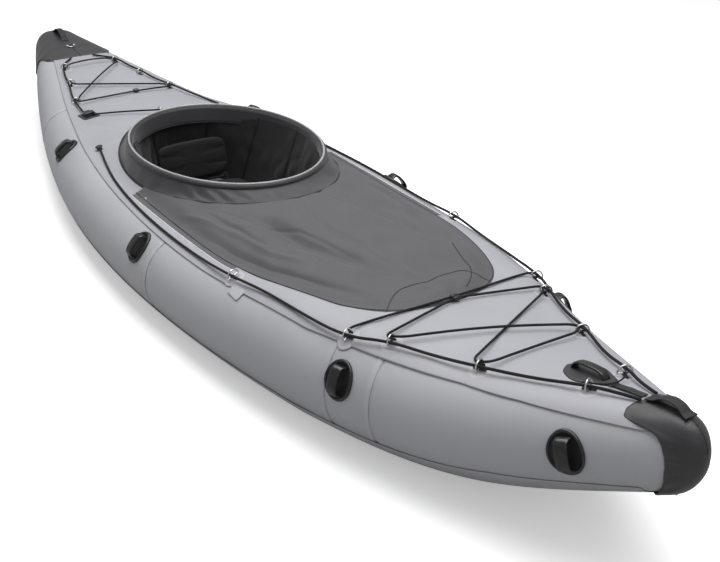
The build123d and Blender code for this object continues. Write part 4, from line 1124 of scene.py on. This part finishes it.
for (x, y), height in ((SLIDE_FORE, 0.0095), (SLIDE_AFT, 0.008)):
    z = over(x, y, height)[2]
    for dx in (-0.0055, 0.0055):
        path = np.stack([np.full(24, x + dx), y + np.linspace(-0.0088, 0.0088, 24),
                         np.full(24, z)], -1)
        swell = 0.0048 + 0.0008 * np.cos(np.linspace(-1.2, 1.2, 24))
        clips.append((band(path, (1, 0, 0), swell, swell, 0.8, 20), True, False))
slide = surface("bungee_clips", clips, MAT["plastic"])
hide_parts("slide_clips")

# %% [markdown]
# ## Floor panel, seat and backrest
# The floor is a stiff inflated panel with rounded sides. The cushion and the back pad are foam
# in cloth, crowned, pulled in at their seams, with sewn channels across them.
# %% Inside the cockpit
x = np.concatenate([[-0.880], np.linspace(-0.872, 0.872, 120), [0.880]])[:, None]
half = (axis_y(x) - radius(x) + 0.001)
u = np.linspace(-1, 1, 61)[None]
y = half * u
round_off = 0.016 * (1 - np.sqrt(np.maximum(0,
                                            1 - np.clip((np.abs(y) - half + 0.016) / 0.016, 0,
                                                        1)**2)))
end_round = 0.014 * (np.abs(x) > 0.8735)
upper = np.stack([x + 0 * y, y,
                  0.0768 - round_off - end_round + 0.0002 * np.sin(x * 2 * np.pi / 0.04) + 0 * y],
                  -1)
lower = np.stack([x + 0 * y, y, 0.0022 + round_off + end_round + 0 * y], -1)
sides = np.concatenate([upper, lower[:, ::-1]], 1)
panel = surface("floor_panel", [(sides, True, True)], MAT["floor"])
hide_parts("floor_chamber")


def cushion(outline, up, low, crown, grooves):
    """Closed pad: rings of its outline drawn in towards the middle on both faces, the faces
    crowned and pressed down along its sewn channels. Columns are across, along and up."""
    size = np.array([0.0, 0.25, 0.5, 0.7, 0.84, 0.93, 0.975, 0.997, 1.0, 0.997, 0.975, 0.93, 0.84,
                     0.7, 0.5, 0.25, 0.0])
    face = np.array([1, 1, 1, 1, 1, 0.94, 0.80, 0.55, 0.0, -0.55, -0.80, -0.94, -1, -1, -1, -1, -1])
    xy = outline[None] * size[:, None, None]
    mid, thick = (up + low) / 2, (up - low) / 2
    bulge = np.where(face > 0, crown, 0)[:, None] * (1 - size**2)[:, None]
    groove = sum(0.004 * bump_at(xy[..., 0] - g, 0.006) for g in grooves) * (face > 0.9)[:, None]
    return np.dstack([xy, mid + thick * face[:, None] + bulge - groove])


c, s = squared(120, 0.32)
grid = cushion(np.stack([0.145 * c * (1 - 0.03 * np.abs(s)), 0.150 * s * (1 - 0.03 * np.abs(c))],
                        -1), 0.1165, 0.0790, 0.006, (-0.08, -0.027, 0.027, 0.08))
grid[..., 0] += -0.215
# The seat's near-black finish holds painted shade of the cockpit interior.
seat = surface("seat_pad", [(grid, True, True)], MAT["seat"], level=1)
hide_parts("seat_cushion")
grid = cushion(np.stack([0.062 * c * (1 - 0.04 * np.abs(s)), 0.120 * s * (1 - 0.03 * np.abs(c))],
                        -1), 0.0115, -0.0115, 0.003, (-0.024, 0.024))
tilt = math.radians(-14)
lx, lz = 0.0143 + grid[..., 2], 0.076 + grid[..., 0]
back = np.stack([-0.395 + lx * math.cos(tilt) + lz * math.sin(tilt), grid[..., 1],
                 0.109 - lx * math.sin(tilt) + lz * math.cos(tilt)], -1)
# The back pad takes the same near-black finish, with painted shade of the cockpit interior.
back_pad = surface("backrest_cushion", [(back, True, False)], MAT["seat"], body="backrest", level=1)
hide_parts("backrest_pad")

a = np.linspace(-0.074, 0.549, 200)
bands, edges = [], []
hem_y = np.interp(a, HALF_EDGE[:, 0], HALF_EDGE[:, 1])
for side in (1, -1):
    for offsets, store, lift in (((0.001, 0.0016, 0.009, 0.0158), bands,
                                  (-0.001, 0.0002, 0.0004, 0.0002)),
                                 ((0.0155, 0.0160, 0.0182, 0.0190), edges,
                                  (-0.001, 0.0008, 0.0008, -0.001))):
        y = hem_y[:, None] + np.asarray(offsets)[None]
        X = a[:, None] + 0 * y
        z = deck_z(X, y, 2 * GAP + SKIN + 0.0012) + np.asarray(lift)[None]
        store.append((np.stack([X, side * y, z], -1), False, side > 0))
hem = surface("hem_strips", bands, MAT["hem"])
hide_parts("cover_hem_bands")
surface("hem_white_edge", edges, MAT["edge"])

# %% [markdown]
# ## Finishes of the hard parts
# The rings, buckle, valves and seat fittings keep their CAD shape and take a finish.
# %% Hard parts
KEPT = {
    "ring_tabs": "strap", "deck_rings": "steel", "stern_ring": "steel", "buckle_body": "plastic",
    "buckle_lever": "plastic", "valve_bodies": "valve", "seat_lugs": "fitting",
    "backrest_frame": "fitting", "foot_rails": "fitting", "footrest": "fitting",
    "valve_stem_left": "stem", "valve_stem_right": "stem", "valve_stem_floor": "stem",
    "valve_cap_left": "valve", "valve_cap_right": "valve", "valve_cap_floor": "valve",
}
for node, key in KEPT.items():
    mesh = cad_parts[node].data
    mesh.materials.clear()
    mesh.materials.append(MAT[key])
print(len(KEPT), "hard parts finished")

# %% [markdown]
# ## Floor and light
# A plain pale floor, a wide soft light overhead a little towards the far side, and an even sky.
# %% Stage and light
bpy.ops.mesh.primitive_plane_add(size=60, location=(0, 0, -0.0006))
floor = bpy.context.object
floor.name = "studio_floor"
pale = bpy.data.materials.new("studio_floor")
pale.use_nodes = True
seen = pale.node_tree.nodes.new("ShaderNodeLightPath")
shade = pale.node_tree.nodes.new("ShaderNodeMix")
shade.data_type = "RGBA"
shade.inputs[6].default_value = (0.42, 0.42, 0.42, 1)
shade.inputs[7].default_value = (1.0, 1.0, 1.0, 1)
pale.node_tree.links.new(seen.outputs["Is Camera Ray"], shade.inputs[0])
pale.node_tree.links.new(shade.outputs[2],
                         pale.node_tree.nodes["Principled BSDF"].inputs["Base Color"])
glow = pale.node_tree.nodes.new("ShaderNodeMath")
glow.operation = "MULTIPLY"
glow.inputs[1].default_value = 0.34
pale.node_tree.links.new(seen.outputs["Is Camera Ray"], glow.inputs[0])
pale.node_tree.links.new(glow.outputs[0],
                         pale.node_tree.nodes["Principled BSDF"].inputs["Emission Strength"])
pale.node_tree.nodes["Principled BSDF"].inputs["Emission Color"].default_value = (1, 1, 1, 1)
pale.node_tree.nodes["Principled BSDF"].inputs["Roughness"].default_value = 0.9
pale.node_tree.nodes["Principled BSDF"].inputs["Specular IOR Level"].default_value = 0.1
floor.data.materials.append(pale)
floor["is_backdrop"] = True


def soft_light(name, place, target, size, watts):
    data = bpy.data.lights.new(name, "AREA")
    data.shape = "RECTANGLE"
    data.size, data.size_y = size
    data.energy = watts
    lamp = bpy.data.objects.new(name, data)
    lamp.location = place
    lamp.rotation_euler = (Vector(target) - Vector(place)).to_track_quat("-Z", "Y").to_euler()
    scene.collection.objects.link(lamp)
    return lamp


soft_light("overhead", (0.0, 0.3, 3.6), (0, 0, 0.1), (6.0, 2.6), 170)
soft_light("front_fill", (4.5, -1.5, 2.0), (0.5, 0, 0.2), (2.5, 2.0), 6)
world = bpy.data.worlds.new("studio")
scene.world = world
world.use_nodes = True
world.node_tree.nodes["Background"].inputs["Color"].default_value = (1, 1, 1, 1)
world.node_tree.nodes["Background"].inputs["Strength"].default_value = 0.385
scene.view_settings.view_transform = "Standard"

# %% Size and finish
low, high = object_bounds()
print("visual box", [round(v, 3) for v in low], [round(v, 3) for v in high])
